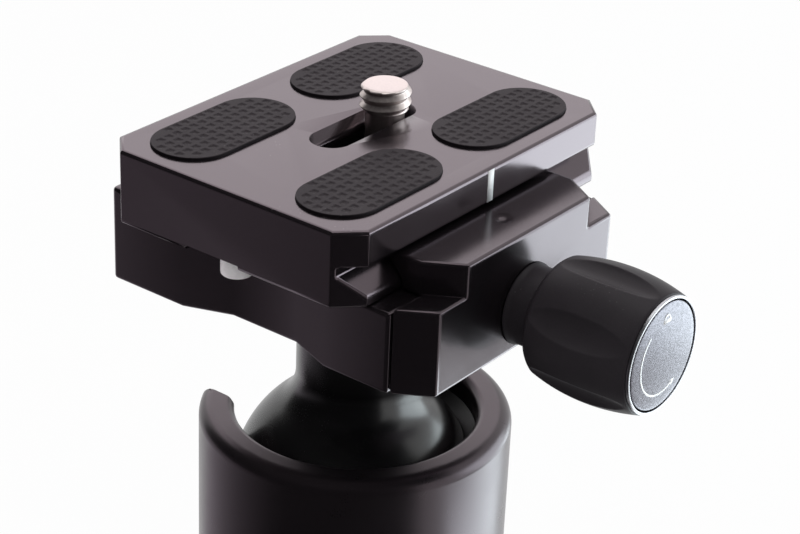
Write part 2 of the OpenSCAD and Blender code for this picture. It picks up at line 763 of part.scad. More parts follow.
module camera_screw() color(steel) translate([plate_x, screw_y, 0]) difference() {
  thread_z = plate_top + camera_neck_h;
  tip_z = plate_top + camera_thread_up;
  union() {
    disc(camera_head_r, camera_head_z, camera_head_z + camera_head_h);
    disc(camera_shank_r, camera_head_z + over, thread_z + over);
    disc(camera_thread_r, thread_z, tip_z - thread_tip_c);
    translate([0, 0, tip_z - thread_tip_c])
      cylinder(r1 = camera_thread_r, r2 = camera_thread_r - thread_tip_c, h = thread_tip_c);
  }
  // coin slot in the head, with a key socket at its middle
  translate([-camera_head_r - over, -coin_w / 2, camera_head_z - over])
    cube([2 * (camera_head_r + over), coin_w, coin_deep + over]);
  translate([0, 0, camera_head_z]) mirror([0, 0, 1]) hex_socket(camera_key, camera_head_h * 2 / 3);
}

// ---- the part ----

pan_base();
base_thread_insert();
pan_thrust_washer();
socket_body();
upper_seat_ring();
lock_bush();
pan_retaining_screws();
pan_lock_pad();
pan_lock_screw();
pan_lock_knob();
pan_lock_knob_cap();
lock_plunger();
pressure_cup();
lock_screw();
lock_knob();
lock_knob_rim();
lock_knob_cap();
ball_liner();
ball_and_stem();
clamp_body();
clamp_bolt();
jaw_springs();
clamp_jaw();
jaw_guide_pins();
clamp_screw();
clamp_knob_collar();
clamp_knob();
clamp_knob_rim();
clamp_knob_cap();
plate_body();
plate_pads();
stop_screws();
camera_screw_washer();
camera_screw();
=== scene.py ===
"""Dresses a packed tripod ball head: modelled pieces, finishes, floor, lamps and camera."""

import math
from contextlib import contextmanager

import bmesh
import bpy
from bpy.props import FloatProperty, FloatVectorProperty, IntProperty, PointerProperty
from mathutils import Matrix, Vector


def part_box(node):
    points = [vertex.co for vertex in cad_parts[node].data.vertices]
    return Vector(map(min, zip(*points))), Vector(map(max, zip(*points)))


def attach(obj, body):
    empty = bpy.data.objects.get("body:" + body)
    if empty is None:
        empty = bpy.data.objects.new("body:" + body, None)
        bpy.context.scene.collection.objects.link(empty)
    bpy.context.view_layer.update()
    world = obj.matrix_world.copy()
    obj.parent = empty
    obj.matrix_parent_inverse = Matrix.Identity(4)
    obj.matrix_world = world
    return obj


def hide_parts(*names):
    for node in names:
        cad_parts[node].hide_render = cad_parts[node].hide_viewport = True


bl_info = {
    "name": "Tripod Ball Head",
    "version": (1, 0, 0),
    "blender": (4, 5, 0),
    "location": "View3D > Sidebar > Ball Head",
    "description": "Dresses the packed ball head with modelled pieces and finishes, and lights it",
    "category": "Object",
}

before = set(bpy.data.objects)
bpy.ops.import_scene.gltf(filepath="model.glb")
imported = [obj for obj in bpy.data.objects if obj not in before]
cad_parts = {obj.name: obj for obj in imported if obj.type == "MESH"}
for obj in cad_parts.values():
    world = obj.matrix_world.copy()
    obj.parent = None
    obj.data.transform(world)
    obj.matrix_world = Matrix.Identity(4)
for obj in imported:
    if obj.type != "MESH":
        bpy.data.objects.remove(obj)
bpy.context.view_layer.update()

# Lengths below are in millimetres and are scaled once, where a mesh is made
MM = 0.001


def levels(node):
    """Lowest and highest corner of a CAD node, in millimetres."""
    low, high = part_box(node)
    return low / MM, high / MM


BODY_LOW, BODY_HIGH = levels("socket_body")
CLAMP_LOW, CLAMP_HIGH = levels("clamp_body")
JAW_LOW, JAW_HIGH = levels("clamp_jaw")
PLATE_LOW, PLATE_HIGH = levels("plate_body")
COLLAR_LOW, COLLAR_HIGH = levels("clamp_knob_collar")
LOCK_PAD_LOW, LOCK_PAD_HIGH = levels("pan_lock_pad")
PLUNGER_LOW, PLUNGER_HIGH = levels("lock_plunger")

# Radii and heights of the turned parts
BODY_R = 20.0
BASE_R = 21.0
BASE_SIDE_H = 3.0
BALL_R = 15.8
BALL_BELOW_RIM = 12.1
STEM_R = 7.75
ROOT_ROUND = 6.0
SPINDLE_R = 9.0
BORE_R = 16.7
MOUTH_R = 15.5
RIM_ROUND = 1.9
RIM_BEVEL = 0.7
NOTCH_W = 19.5
TURNED_EDGE = 0.35
SMALL_EDGE = 0.3

# Room round a piece that moves, room round one that is fixed, room at a bore's end, and how far
# a cutting shape runs past what it cuts
FIT = 0.05
SEAT = 0.02
HOLE_END = 0.3
OVER = 1

# Plate
PLATE_X = -1.5
PLATE_Y = 1.5
LIP_H = 4.5
FLANK = 2.6
EDGE_H = 1.35
CORNER = 3.0
PAD_L = 21.0
PAD_W = 10.3
PAD_UP = 0.35
PAD_DEEP = 0.6
PAD_SIDE = 2.65
PAD_END = 2.3
SLOT_L = 17.5
SLOT_W = 5.4
WELL_W = 13.0
PLATE_WEB = LIP_H + 0.3
STOP_IN = 2.7

# Clamp
END_RECESS = 2.3
RECESS_FLOOR = 9.8
RECESS_MOUTH = 22.0
JAW_T = 4.5
JAW_LOW_Y = 17.3
JAW_HIGH_Y = 12.2
CLAMP_AXIS_Z = (COLLAR_LOW.z + COLLAR_HIGH.z) / 2

BALL_Z = BODY_HIGH.z - BALL_BELOW_RIM
LOCK_Z = (PLUNGER_LOW.z + PLUNGER_HIGH.z) / 2
PAN_LOCK_Z = (LOCK_PAD_LOW.z + LOCK_PAD_HIGH.z) / 2
PLATE_T = PLATE_HIGH.z - PLATE_LOW.z

# Fixed side of the clamp, jaw details and pins
FIXED_WALL = 2.0
FIXED_HIGH_Y = 14.0
WALL_UP = 2.0
HOOK_CORNER = 0.6
CLAMP_ROUND = 0.7
JAW_STEP = 0.5
JAW_CLEAR = 0.1
HOOK_SHORT = 0.3
DIMPLE_R = 1.3
DIMPLE_DEEP = 0.45
DIMPLE_SLOPE = 0.8
DIMPLE_IN = 0.2
DIMPLE_Y = 0.4
PIN_Y = 12.5
PIN_R = 1.5
SPIGOT_R = 5.0
SPIGOT_DEEP = 1.8
BOLT_R = 3.0
BOLT_PLAY = 0.4
BOLT_HEAD_H = 5.6
BOLT_HEAD_PLAY = 0.2
CLAMP_SCREW_R = 3.0
COLLAR_FOOT = 0.3
COLLAR_EDGE = 0.25

# Distance at which points are welded, and the angle in degrees at which faces count as level
WELD = 0.0005
LEVEL = 0.5

# Rounded edges: the angle in degrees from which an edge counts as sharp, on a milled piece and on
# a turned profile, how much of an edge's length has to be height for it to be upright, the steps
# across a rounded edge, how much of a profile's side a corner may take, the length below which a
# side counts as none, the width at bores and pads, and the shares of the width that inner and
# upright edges get
SHARP = 35
PROFILE_SHARP = 20
UPRIGHT_FROM = 0.99
ROUND_STEPS = 3
CORNER_REACH = 0.45
NO_LENGTH = 1e-9
BORE_EDGE = 0.1
PAD_EDGE = 0.12
CLAMP_INNER = 0.15
PLATE_INNER = 0.3
PLATE_UPRIGHT = 0.3
BODY_INNER = 0.2

# Base, body and ball lock details
BASE_TOP = 0.4
GROOVE_W = 3.4
PLUNGER_R = 4.0
PAD_SCREW_R = 1.5
RETAINER_ANGLES = (120, 240)
PAD_BORE_FROM = 5
CUP_FLOOR = 1.6
CUP_DROP_ROOM = 0.395
CUP_ROOM_Z = BALL_Z - BALL_R - CUP_FLOOR - CUP_DROP_ROOM
FOOT_ROOM_X = 2.9
FOOT_ROOM_Y = 5.4
BELT = 0.7

# Camera screw and stop screws
CAMERA_NECK = 0.5
CAMERA_THREAD_R = 3.175
CAMERA_SHANK_R = 2.4
CAMERA_HEAD_H = 3.6
CAMERA_KEY = 4.0
THREAD_ROWS = 64
THREAD_CREST = 0.08
THREAD_FLANK = 0.8
LEAD_LONG = 0.5
LEAD_SLOPE = 1.1
POINT_IN = 0.4
COIN_SLOT = 1.8
COIN_DEEP = 1.4
STOP_SHANK_R = 1.25
STOP_DEEP = 4.9
STOP_KEY = 1.5
STOP_KEY_DEEP = 1
CAMERA_KEY_DEEP = CAMERA_HEAD_H * 2 / 3
RELIEF_IN = 5.6
RELIEF_LEFT = 5.8
RELIEF_RIGHT = 2.4
RELIEF_H = 0.65

# Pads and printed marks
PAD_RIM = 0.15
PAD_MARGIN = 0.8
PIT_FOOT = 0.62
PIT_FLARE = 0.08
PIT_OVER = 0.1
INDEX_INSET = 0.22
INDEX_Y = 0.25
INK = 0.02
MARK_AT = 0.72
MARK_W = 0.26
MARK_FROM = 222
MARK_TO = 385
ARROW_HALF = 0.45
ARROW_LONG = 0.95
LOCK_HALF = 0.8
LOCK_TALL = 1.1
SHACKLE_R = 0.38

# Camera: the point that it looks at, on the level of the plate's top, its sensor's width in
# millimetres and its near limit in metres
LOOK_AT = (25.12, -25.37)
SENSOR_W = 36
NEAR_LIMIT = 0.001

# Dark card, seen only in reflections, which paints dark reflections over the front: its angles in
# degrees, its distances and heights in millimetres
CARD_FROM = 180
CARD_TO = 352
CARD_NEAR = 35
CARD_FAR = 400
CARD_LOW = 2
CARD_MID = 240
CARD_TALL = 430
CARD_ROOF = 110
CARD_TOP = 600
CARD_ABOVE_TO = 385

# Painted reflection on the card's floor, which glows grey on the left and dark towards the front
# and is seen
# only in reflections: the colours at its two ends, grey levels at places between them and their
# share of green;
# then the faint glow of the card's walls, a painted dark reflection, and the paint of both
APRON_FIRST = (0.75, 0.68, 0.75, 1)
APRON_LAST = (0.012, 0.010, 0.012, 1)
APRON_LEVELS = ((0.10, 0.55), (0.25, 0.25), (0.42, 0.018))
APRON_GREEN = 0.9
CARD_GLOW = 0.015
CARD_GLOW_TINT = (1, 0.9, 1, 1)
CARD_PAINT = {"Base Color": (0, 0, 0, 1), "Roughness": 0.9}

# Lamps: name, place and target in metres, width and height in metres, level and tint
WARM = (1, 0.88, 0.94)
COOL = (0.84, 0.96, 1)
WHITE = (1, 1, 1)
LIT_MIDDLE = (0, 0, 0.09)
SOFTBOXES = (
    ("rear_softbox", (-0.45, 0.38, 0.42), LIT_MIDDLE, 0.60, 0.55, "rear_light", WARM),
    ("top_softbox", (0.05, -0.1, 0.75), LIT_MIDDLE, 0.8, 0.8, "top_light", WHITE),
    ("edge_softbox", (0.33, 0.42, 0.14), LIT_MIDDLE, 0.50, 0.25, "edge_light", COOL),
    ("low_panel", (0.20, 0.285, 0.002), (0.20, 0.285, 1), 0.36, 0.30, "low_light", COOL),
    ("near_panel", (0.06, 0.07, 0.002), (0.06, 0.07, 1), 0.06, 0.10, "low_light", COOL),
)

# Colour of the light from all round
SKY_TINT = (0.96, 0.98, 1, 1)

# Floor: half its side and its thickness in millimetres, the two tones of its paper, how far they
# are mixed, and its glow
FLOOR_HALF = 3000
FLOOR_THICK = 10
PAPER_LIGHT = (0.9, 0.9, 0.9, 1)
PAPER_DARK = (0.8, 0.8, 0.8, 1)
PAPER_MIX = 0.05
FLOOR_GLOW = 0.95

# Finishes of the pieces inside, which keep their CAD shapes
INNER_FINISHES = {
    "Steel": ["base_thread_insert", "pan_retaining_screws", "pan_lock_screw", "lock_plunger",
              "lock_screw", "clamp_bolt", "jaw_springs", "jaw_guide_pins", "clamp_screw"],
    "Brass": ["lock_bush", "pressure_cup", "pan_lock_pad"],
    "Sliding Plastic": ["pan_thrust_washer", "ball_liner"],
    "Black Ring": ["upper_seat_ring", "camera_screw_washer"],
}

# Turns of a part's own axis, which is drawn along +Z
UPRIGHT = Matrix.Identity(3)
TO_X = Matrix(((0, 0, 1), (0, 1, 0), (-1, 0, 0)))
TO_FRONT = Matrix(((1, 0, 0), (0, 0, -1), (0, 1, 0)))

# Fluted knobs from the foot up, their caps and rims, then what differs from knob to knob
KNOB_NECK = 0.9
KNOB_FOOT = 1.0
KNOB_LIP = 0.2
LIP_SHARE = 0.3
KNOB_FACE = 0.6
FOOT_SHARES = (0, 0.3, 0.6, 0.85)
KNOB_ROWS = 64
KNOB_STEPS = 540
CAP_DEEP = 1.2
CAP_GAP = 0.2
CAP_DOME = 0.2
CAP_SUNK = 0.03
CAP_EDGE = 0.12
CAP_SOFT = 0.08
CAP_ROWS = 12
RIM_H = 0.43
RIM_SOFT = 0.12
KNOBS = {
    "clamp_knob": {"r": 8.3, "long": 14.9, "end_r": 7.188, "cap_r": 6.838, "rim_h": 0.45,
                   "flute_r": 3.4, "flute_deep": 0.85, "first": math.radians(6),
                   "turn": TO_X, "body": "clamp_knob", "place": (COLLAR_HIGH.x, 0, CLAMP_AXIS_Z)},
    "lock_knob": {"r": 10.4, "long": 17.0, "end_r": 9.069, "cap_r": 8.719, "rim_h": 0.45,
                  "flute_r": 4.2, "flute_deep": 0.95, "first": math.radians(30),
                  "turn": TO_FRONT, "body": "lock_knob",
                  "place": (0, levels("lock_knob")[1].y, LOCK_Z)},
    "pan_lock_knob": {"r": 6.6, "long": 11.0, "end_r": 5.755, "cap_r": 4.855, "rim_h": 0.0,
                      "flute_r": 2.8, "flute_deep": 0.6, "first": math.radians(30),
                      "turn": TO_X, "body": "pan_lock_knob",
                      "place": (levels("pan_lock_knob")[0].x, 0, PAN_LOCK_Z)},
}


# ---- settings ----

def length(name, description, millimetres):
    """A length property whose default is given in millimetres."""
    return FloatProperty(name=name, description=description, default=millimetres * MM,
                         min=0.0, unit="LENGTH", precision=5)


def colour(name, description, *channels):
    """A linear colour property."""
    return FloatVectorProperty(name=name, description=description, default=channels,
                               size=3, min=0.0, max=1.0, subtype="COLOR")


def degrees(name, description, value):
    """An angle property whose default is given in degrees."""
    return FloatProperty(name=name, description=description, default=math.radians(value),
                         subtype="ANGLE")


def brightness(name, description, value):
    """A property for the level of a light."""
    return FloatProperty(name=name, description=description, default=value, min=0.0)


class BallHeadSizes(bpy.types.PropertyGroup):
    """Small sizes of the modelled surfaces"""
    edge_break: length("Edge Break", "Width of the rounded edges of the socket body", 0.22)
    milled_edge: length("Milled Edge", "Width of the rounded edges of the plate and clamp", 0.42)
    flute_blend: length("Flute Blend", "Softness of the edge between a flute and the knob", 0.04)
    pad_pitch: length("Pad Pitch", "Distance between the pits in a rubber pad", 1.44)
    pad_pit: length("Pad Pit", "Width of a pit in a rubber pad", 1.05)
    pad_pit_depth: length("Pad Pit Depth", "Depth of a pit in a rubber pad", 0.12)
    thread_pitch: length("Thread Pitch", "Pitch of the 1/4 inch camera thread", 1.27)
    thread_depth: length("Thread Depth", "Depth of the camera thread", 0.5)
    index_width: length("Index Width", "Width of the white index line on the plate", 1.15)
    round_steps: IntProperty(name="Round Steps", description="Faces round a turned part",
                             default=160, min=24, max=512)


class BallHeadColours(bpy.types.PropertyGroup):
    """Colours of the finishes"""
    anodised: colour("Anodised", "Black anodised clamp, body and base", 0.0064, 0.0052, 0.0061)
    plate: colour("Plate", "Black anodised plate", 0.0070, 0.0056, 0.0066)
    ball: colour("Ball", "Smooth black ball", 0.0028, 0.0024, 0.0029)
    knob: colour("Knob", "Matt black knobs", 0.0270, 0.0228, 0.0262)
    cap: colour("Cap", "Grey cap in a knob's end", 0.150, 0.145, 0.168)
    rim: colour("Rim", "Bright ring round a knob's end", 0.42, 0.42, 0.44)
    nickel: colour("Nickel", "Nickel plated camera screw", 0.62, 0.55, 0.53)
    zinc: colour("Zinc", "Bright zinc plated stop screws", 0.95, 0.90, 0.90)
    steel: colour("Steel", "Bare steel pins, screws and springs", 0.50, 0.49, 0.48)
    brass: colour("Brass", "Brass bush, cup and pad", 0.62, 0.44, 0.20)
    rubber: colour("Rubber", "Rubber pads", 0.0060, 0.0052, 0.0062)
    plastic: colour("Plastic", "White sliding plastic", 0.72, 0.71, 0.67)
    ink: colour("Ink", "White printed marks", 0.95, 0.95, 0.95)


class BallHeadStudio(bpy.types.PropertyGroup):
    """Camera and light levels of the studio"""
    distance: length("Camera Distance", "From the camera to the point it looks at", 243.6)
    azimuth: degrees("Azimuth", "Camera's turn about the part's upright axis", 36.86)
    elevation: degrees("Elevation", "Camera's height as an angle", 27.16)
    roll: degrees("Roll", "Camera's turn about its own view", 2.5)
    lens: FloatProperty(name="Lens", description="Focal length on a 36 mm sensor", default=102.99)
    rear_light: brightness("Rear Light", "Brightness of the rear softbox", 0.62)
    edge_light: brightness("Edge Light", "Brightness of the low softbox that lights the edges", 3.6)
    top_light: brightness("Top Light", "Brightness of the top softbox", 1.4)
    low_light: brightness("Low Light", "Brightness of the low panels", 3.8)
    sky: brightness("Sky", "Brightness of the light from all round", 0.35)


# ---- meshes ----

def mesh_piece(name, points, faces):
    """A new object of the given points, in millimetres, with its faces turned outwards."""
    mesh = bpy.data.meshes.new(name)
    mesh.from_pydata([tuple(Vector(p) * MM) for p in points], [], faces)
    piece = bpy.data.objects.new(name, mesh)
    bpy.context.scene.collection.objects.link(piece)
    clean(piece)
    return piece


@contextmanager
def mesh_edit(piece):
    """A piece's mesh, open for changes that are written back at the end."""
    work = bmesh.new()
    work.from_mesh(piece.data)
    yield work
    work.to_mesh(piece.data)
    work.free()


def clean(piece, flatten=False):
    """Welds stray points, turns faces outwards and shades smooth; joins level faces if asked."""
    with mesh_edit(piece) as work:
        bmesh.ops.remove_doubles(work, verts=work.verts, dist=WELD * MM)
        if flatten:
            bmesh.ops.dissolve_limit(work, angle_limit=math.radians(LEVEL), verts=work.verts,
                                     edges=work.edges)
        bmesh.ops.recalc_face_normals(work, faces=work.faces)
        for face in work.faces:
            face.smooth = True


def rings(rows, turn=UPRIGHT, place=(0, 0, 0), steps=160):
    """Points and faces of rings about one axis. A row is (radius, height), where the radius is a
    number or a function of the angle, and 0 closes that end."""
    points = []
    loops = []
    place = Vector(place)
    for radius, height in rows:
        if radius == 0:
            loops.append([len(points)])
            points.append(turn @ Vector((0, 0, height)) + place)
            continue
        loop = []
        for k in range(steps):
            angle = 2 * math.pi * k / steps
            r = radius(angle) if callable(radius) else radius
            at = Vector((r * math.cos(angle), r * math.sin(angle), height))
            loop.append(len(points))
            points.append(turn @ at + place)
        loops.append(loop)
    faces = []
    for a, b in zip(loops, loops[1:]):
        for k in range(steps):
            m = (k + 1) % steps
            corners = [a[k % len(a)], a[m % len(a)], b[m % len(b)], b[k % len(b)]]
            faces.append(list(dict.fromkeys(corners)))
    return points, faces


def prism(outline, low, high, turn=UPRIGHT, place=(0, 0, 0)):
    """Points and faces of an outline drawn out from one height to another."""
    place = Vector(place)
    n = len(outline)
    points = [turn @ Vector((x, y, z)) + place for z in (low, high) for x, y in outline]
    faces = [list(range(n))[::-1], list(range(n, 2 * n))]
    faces += [[i, (i + 1) % n, n + (i + 1) % n, n + i] for i in range(n)]
    return points, faces


def plan_box(x, y, to_x, to_y):
    """Outline of a rectangle between two opposite corners."""
    return [(x, y), (to_x, y), (to_x, to_y), (x, to_y)]


def mirrored(points, by_x=1, by_y=-1):
    """The other half of an outline, in the order that goes on from the first half."""
    return [(by_x * x, by_y * y) for x, y in reversed(points)]


def arc(x, y, radius, start, end, steps=12):
    """Points of an arc between two angles in degrees."""
    turns = [math.radians(start + (end - start) * k / steps) for k in range(steps + 1)]
    return [(x + radius * math.cos(a), y + radius * math.sin(a)) for a in turns]


def stadium(long, wide, steps=32):
    """Outline with two round ends, its long side along Y."""
    half = (long - wide) / 2
    return arc(0, half, wide / 2, 0, 180, steps) + arc(0, -half, wide / 2, 180, 360, steps)


def softened(profile, cut):
    """A profile whose sharp corners are rounded off over a length."""
    out = [profile[0]]
    for before, corner, after in zip(profile, profile[1:], profile[2:]):
        a, b, c = Vector(before), Vector(corner), Vector(after)
        to_a, to_c = a - b, c - b
        if to_a.length < NO_LENGTH or to_c.length < NO_LENGTH:
            continue
        if math.degrees(to_a.angle(-to_c)) < PROFILE_SHARP:
            out.append(corner)
            continue
        reach = min(cut, CORNER_REACH * to_a.length, CORNER_REACH * to_c.length)
        start = b + to_a.normalized() * reach
        end = b + to_c.normalized() * reach
        for k in range(ROUND_STEPS + 1):
            t = k / ROUND_STEPS
            out.append(tuple((1 - t) ** 2 * start + 2 * t * (1 - t) * b + t * t * end))
    out.append(profile[-1])
    return out


def settle(piece):
    """Makes the result of an object's modifiers its own mesh."""
    graph = bpy.context.evaluated_depsgraph_get()
    mesh = bpy.data.meshes.new_from_object(piece.evaluated_get(graph))
    old = piece.data
    piece.modifiers.clear()
    piece.data = mesh
    bpy.data.meshes.remove(old)


def carve(piece, shapes, operation="DIFFERENCE"):
    """Cuts shapes, given as points and faces, from a piece, or joins or keeps what they share."""
    tools = [mesh_piece("tool", *shape) for shape in shapes]
    for tool in tools:
        modifier = piece.modifiers.new("Carve", "BOOLEAN")
        modifier.operation = operation
        modifier.solver = "EXACT"
        modifier.object = tool
    settle(piece)
    for tool in tools:
        mesh = tool.data
        bpy.data.objects.remove(tool)
        bpy.data.meshes.remove(mesh)
    clean(piece, flatten=True)


def belt(piece, *heights):
    """Cuts the faces of a piece at some heights, so that the shading round a bore stays there."""
    with mesh_edit(piece) as work:
        for height in heights:
            parts = work.verts[:] + work.edges[:] + work.faces[:]
            bmesh.ops.bisect_plane(work, geom=parts, plane_co=(0, 0, height * MM),
                                   plane_no=(0, 0, 1))


def break_edges(piece, width, inner=1.0, upright=1.0):
    """Rounds the sharp edges of a piece and keeps its flat faces shaded flat. Inner corners and
    upright edges are rounded to a share of the width."""
    with mesh_edit(piece) as work:
        weights = work.edges.layers.float.new("bevel_weight_edge")
        for edge in work.edges:
            if len(edge.link_faces) == 2 and edge.calc_face_angle() > math.radians(SHARP):
                edge[weights] = 1.0 if edge.is_convex else inner
                along = edge.verts[1].co - edge.verts[0].co
                if abs(along.z) > UPRIGHT_FROM * along.length:
                    edge[weights] *= upright
    bevel = piece.modifiers.new("Broken edges", "BEVEL")
    bevel.width = width * MM
    bevel.segments = ROUND_STEPS
    bevel.limit_method = "WEIGHT"
    bevel.use_clamp_overlap = False
    bevel.miter_outer = "MITER_ARC"
    bevel.harden_normals = True
    flat_faces(piece)


def bore(piece, cuts):
    """Cuts bores and recesses into a piece and rounds their sharp edges a little."""
    carve(piece, cuts)
    break_edges(piece, BORE_EDGE, inner=0)


def flat_faces(piece):
    """Weights the shading by face area, so that flats between rounded edges look flat."""
    weighted = piece.modifiers.new("Flat faces", "WEIGHTED_NORMAL")
    weighted.mode = "FACE_AREA"
    weighted.keep_sharp = True


def dress(piece, material, slot, body, *nodes):
    """Gives a piece its finish and body, and hides the CAD nodes that it stands for. Its slot is
    not used.
    """
    piece.data.materials.clear()
    piece.data.materials.append(finish(material))
    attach(piece, body)
    if nodes:
        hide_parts(*nodes)


# ---- shader groups and materials ----

def feed(tree, socket, value):
    """Sets an input socket to a value, or links it from another socket."""
    if isinstance(value, bpy.types.NodeSocket):
        tree.links.new(value, socket)
    else:
        socket.default_value = value


def add(tree, kind, inputs=None, **settings):
    """Adds a shader node; an input takes a value, or a socket to link from."""
    made = tree.nodes.new(kind)
    for key, value in settings.items():
        setattr(made, key, value)
    for key, value in (inputs or {}).items():
        feed(tree, made.inputs[key], value)
    return made


def maths(tree, operation, *values):
    """Adds a Math node and returns its output."""
    node = tree.nodes.new("ShaderNodeMath")
    node.operation = operation
    for socket, value in zip(node.inputs, values):
        feed(tree, socket, value)
    return node.outputs[0]


def scaled(tree, vector, amount):
    """Adds a node that multiplies a colour or vector by a number, and returns its output."""
    return add(tree, "ShaderNodeVectorMath", {0: vector, "Scale": amount},
               operation="SCALE").outputs["Vector"]


def blend(tree, amount, first, second):
    """Adds a colour mix and returns its output."""
    mix = tree.nodes.new("ShaderNodeMix")
    mix.data_type = "RGBA"
    for place, value in ((0, amount), (6, first), (7, second)):
        feed(tree, mix.inputs[place], value)
    return mix.outputs[2]


def new_group(name, inputs, outputs):
    """Starts a shader node group. An input is (name, kind, default), an output (name, kind)."""
    group = bpy.data.node_groups.new(name, "ShaderNodeTree")
    for label, kind, default in inputs:
        socket = group.interface.new_socket(label, in_out="INPUT",
                                            socket_type="NodeSocket" + kind)
        if default is not None:
            socket.default_value = default
    for label, kind in outputs:
        group.interface.new_socket(label, in_out="OUTPUT", socket_type="NodeSocket" + kind)
    start = group.nodes.new("NodeGroupInput").outputs
    end = group.nodes.new("NodeGroupOutput").inputs
    return group, start, end


# Shares of the coarse and the fine noise in the grain, the middle of both, and what their swing
# is multiplied by
CLOUD_SHARE = 0.6
GRAIN_SHARE = 0.4
NOISE_MIDDLE = 0.5
SWING = 4.0

# Roughness that dust and turning marks add
DUST_ROUGH = 0.3
MARK_ROUGH = 0.08

# Painted glints in the grey paint: brightness of the darkest flake, and how much brighter the
# brightest is
FLAKE_DARK = 0.55
FLAKE_GLINT_SWING = 0.9


def grain_group(name):
    """Fine blasted grain under a coating: mottled colour, uneven roughness and a small bump."""
    group, start, end = new_group(
        name,
        [("Colour", "Color", (0.1, 0.1, 0.1, 1)), ("Tone", "Float", 0.2),
         ("Roughness", "Float", 0.4), ("Unevenness", "Float", 0.08),
         ("Grain Scale", "Float", 6000.0), ("Grain Height", "Float", 0.00001)],
        [("Colour", "Color"), ("Roughness", "Float"), ("Normal", "Vector")])
    place = add(group, "ShaderNodeTexCoord").outputs["Object"]
    cloud = add(group, "ShaderNodeTexNoise", {"Vector": place, "Scale": 160.0, "Detail": 4.0})
    grain = add(group, "ShaderNodeTexNoise", {"Vector": place, "Scale": start["Grain Scale"],
                                              "Detail": 2.0, "Roughness": 0.6})
    both = maths(group, "ADD", maths(group, "MULTIPLY", cloud.outputs["Fac"], CLOUD_SHARE),
                 maths(group, "MULTIPLY", grain.outputs["Fac"], GRAIN_SHARE))
    centred = maths(group, "SUBTRACT", both, NOISE_MIDDLE)
    tone = maths(group, "MULTIPLY", start["Tone"], SWING)
    gain = maths(group, "ADD", 1.0, maths(group, "MULTIPLY", centred, tone))
    group.links.new(scaled(group, start["Colour"], gain), end["Colour"])
    unevenness = maths(group, "MULTIPLY", start["Unevenness"], SWING)
    rough = maths(group, "ADD", start["Roughness"], maths(group, "MULTIPLY", centred, unevenness))
    group.links.new(rough, end["Roughness"])
    bump = add(group, "ShaderNodeBump", {"Height": grain.outputs["Fac"], "Strength": 1.0,
                                         "Distance": start["Grain Height"]})
    group.links.new(bump.outputs["Normal"], end["Normal"])
    return group


def turning_group(name):
    """Fine rings that a lathe leaves, round an axis on the sides and faces of a turned part."""
    group, start, end = new_group(
        name,
        [("Normal", "Vector", None), ("Axis", "Vector", (0, 0, 1)),
         ("Centre", "Vector", (0, 0, 0)), ("Ring Scale", "Float", 4000.0),
         ("Ring Height", "Float", 0.00001)],
        [("Mark", "Float"), ("Normal", "Vector")])
    place = add(group, "ShaderNodeTexCoord").outputs["Object"]
    arm = add(group, "ShaderNodeVectorMath", {0: place, 1: start["Centre"]}, operation="SUBTRACT")
    along = add(group, "ShaderNodeVectorMath", {0: arm.outputs["Vector"], 1: start["Axis"]},
                operation="DOT_PRODUCT").outputs["Value"]
    side = add(group, "ShaderNodeVectorMath",
               {0: arm.outputs["Vector"], 1: scaled(group, start["Axis"], along)},
               operation="SUBTRACT")
    radius = add(group, "ShaderNodeVectorMath", {0: side.outputs["Vector"]},
                 operation="LENGTH").outputs["Value"]
    walk = maths(group, "MULTIPLY", maths(group, "ADD", along, radius), start["Ring Scale"])
    mark = add(group, "ShaderNodeTexNoise", {"W": walk, "Scale": 1.0, "Detail": 3.0},
               noise_dimensions="1D").outputs["Fac"]
    group.links.new(mark, end["Mark"])
    bump = add(group, "ShaderNodeBump", {"Height": mark, "Strength": 1.0,
                                         "Distance": start["Ring Height"],
                                         "Normal": start["Normal"]})
    group.links.new(bump.outputs["Normal"], end["Normal"])
    return group


def dust_group(name):
    """A few pale specks of dust that have settled on the upper faces of a dark part."""
    group, start, end = new_group(
        name,
        [("Colour", "Color", (0.1, 0.1, 0.1, 1)),
         ("Dust Colour", "Color", (0.25, 0.24, 0.24, 1)), ("Roughness", "Float", 0.4),
         ("Speck Scale", "Float", 1500.0), ("Amount", "Float", 0.5)],
        [("Colour", "Color"), ("Roughness", "Float")])
    spot = add(group, "ShaderNodeTexCoord").outputs
    place = spot["Object"]
    upward = maths(group, "MAXIMUM", add(group, "ShaderNodeSeparateXYZ",
                                         {"Vector": spot["Normal"]}).outputs["Z"], 0.0)
    cell = add(group, "ShaderNodeTexVoronoi", {"Vector": place, "Scale": start["Speck Scale"],
                                               "Randomness": 1.0})
    patch = add(group, "ShaderNodeTexNoise", {"Vector": place, "Scale": 70.0, "Detail": 1.0})
    size = add(group, "ShaderNodeMapRange", {"Value": cell.outputs["Distance"], "From Min": 0.07,
                                             "From Max": 0.16, "To Min": 1.0, "To Max": 0.0})
    rare = add(group, "ShaderNodeMapRange", {"Value": patch.outputs["Fac"], "From Min": 0.52,
                                             "From Max": 0.66, "To Min": 0.0, "To Max": 1.0})
    speck = maths(group, "MULTIPLY", size.outputs["Result"], rare.outputs["Result"])
    mask = maths(group, "MULTIPLY", maths(group, "MULTIPLY", speck, upward), start["Amount"])
    group.links.new(blend(group, mask, start["Colour"], start["Dust Colour"]), end["Colour"])
    matt = maths(group, "MULTIPLY", mask, DUST_ROUGH)
    group.links.new(maths(group, "ADD", start["Roughness"], matt), end["Roughness"])
    return group


GROUPS = {"Blasted Grain": grain_group, "Turning Marks": turning_group,
          "Settled Dust": dust_group}


def group_node(tree, name, inputs):
    """Places a node group in a tree, made when it is first asked for, and returns its outputs."""
    group = bpy.data.node_groups.get(name) or GROUPS[name](name)
    return add(tree, "ShaderNodeGroup", inputs, node_tree=group).outputs


def new_material(name, constants):
    """A material with one Principled shader whose plain numbers are set on its own sockets."""
    material = bpy.data.materials.new(name)
    material.use_nodes = True
    tree = material.node_tree
    shader = tree.nodes["Principled BSDF"]
    for key, value in constants.items():
        shader.inputs[key].default_value = value
    return material, tree, shader


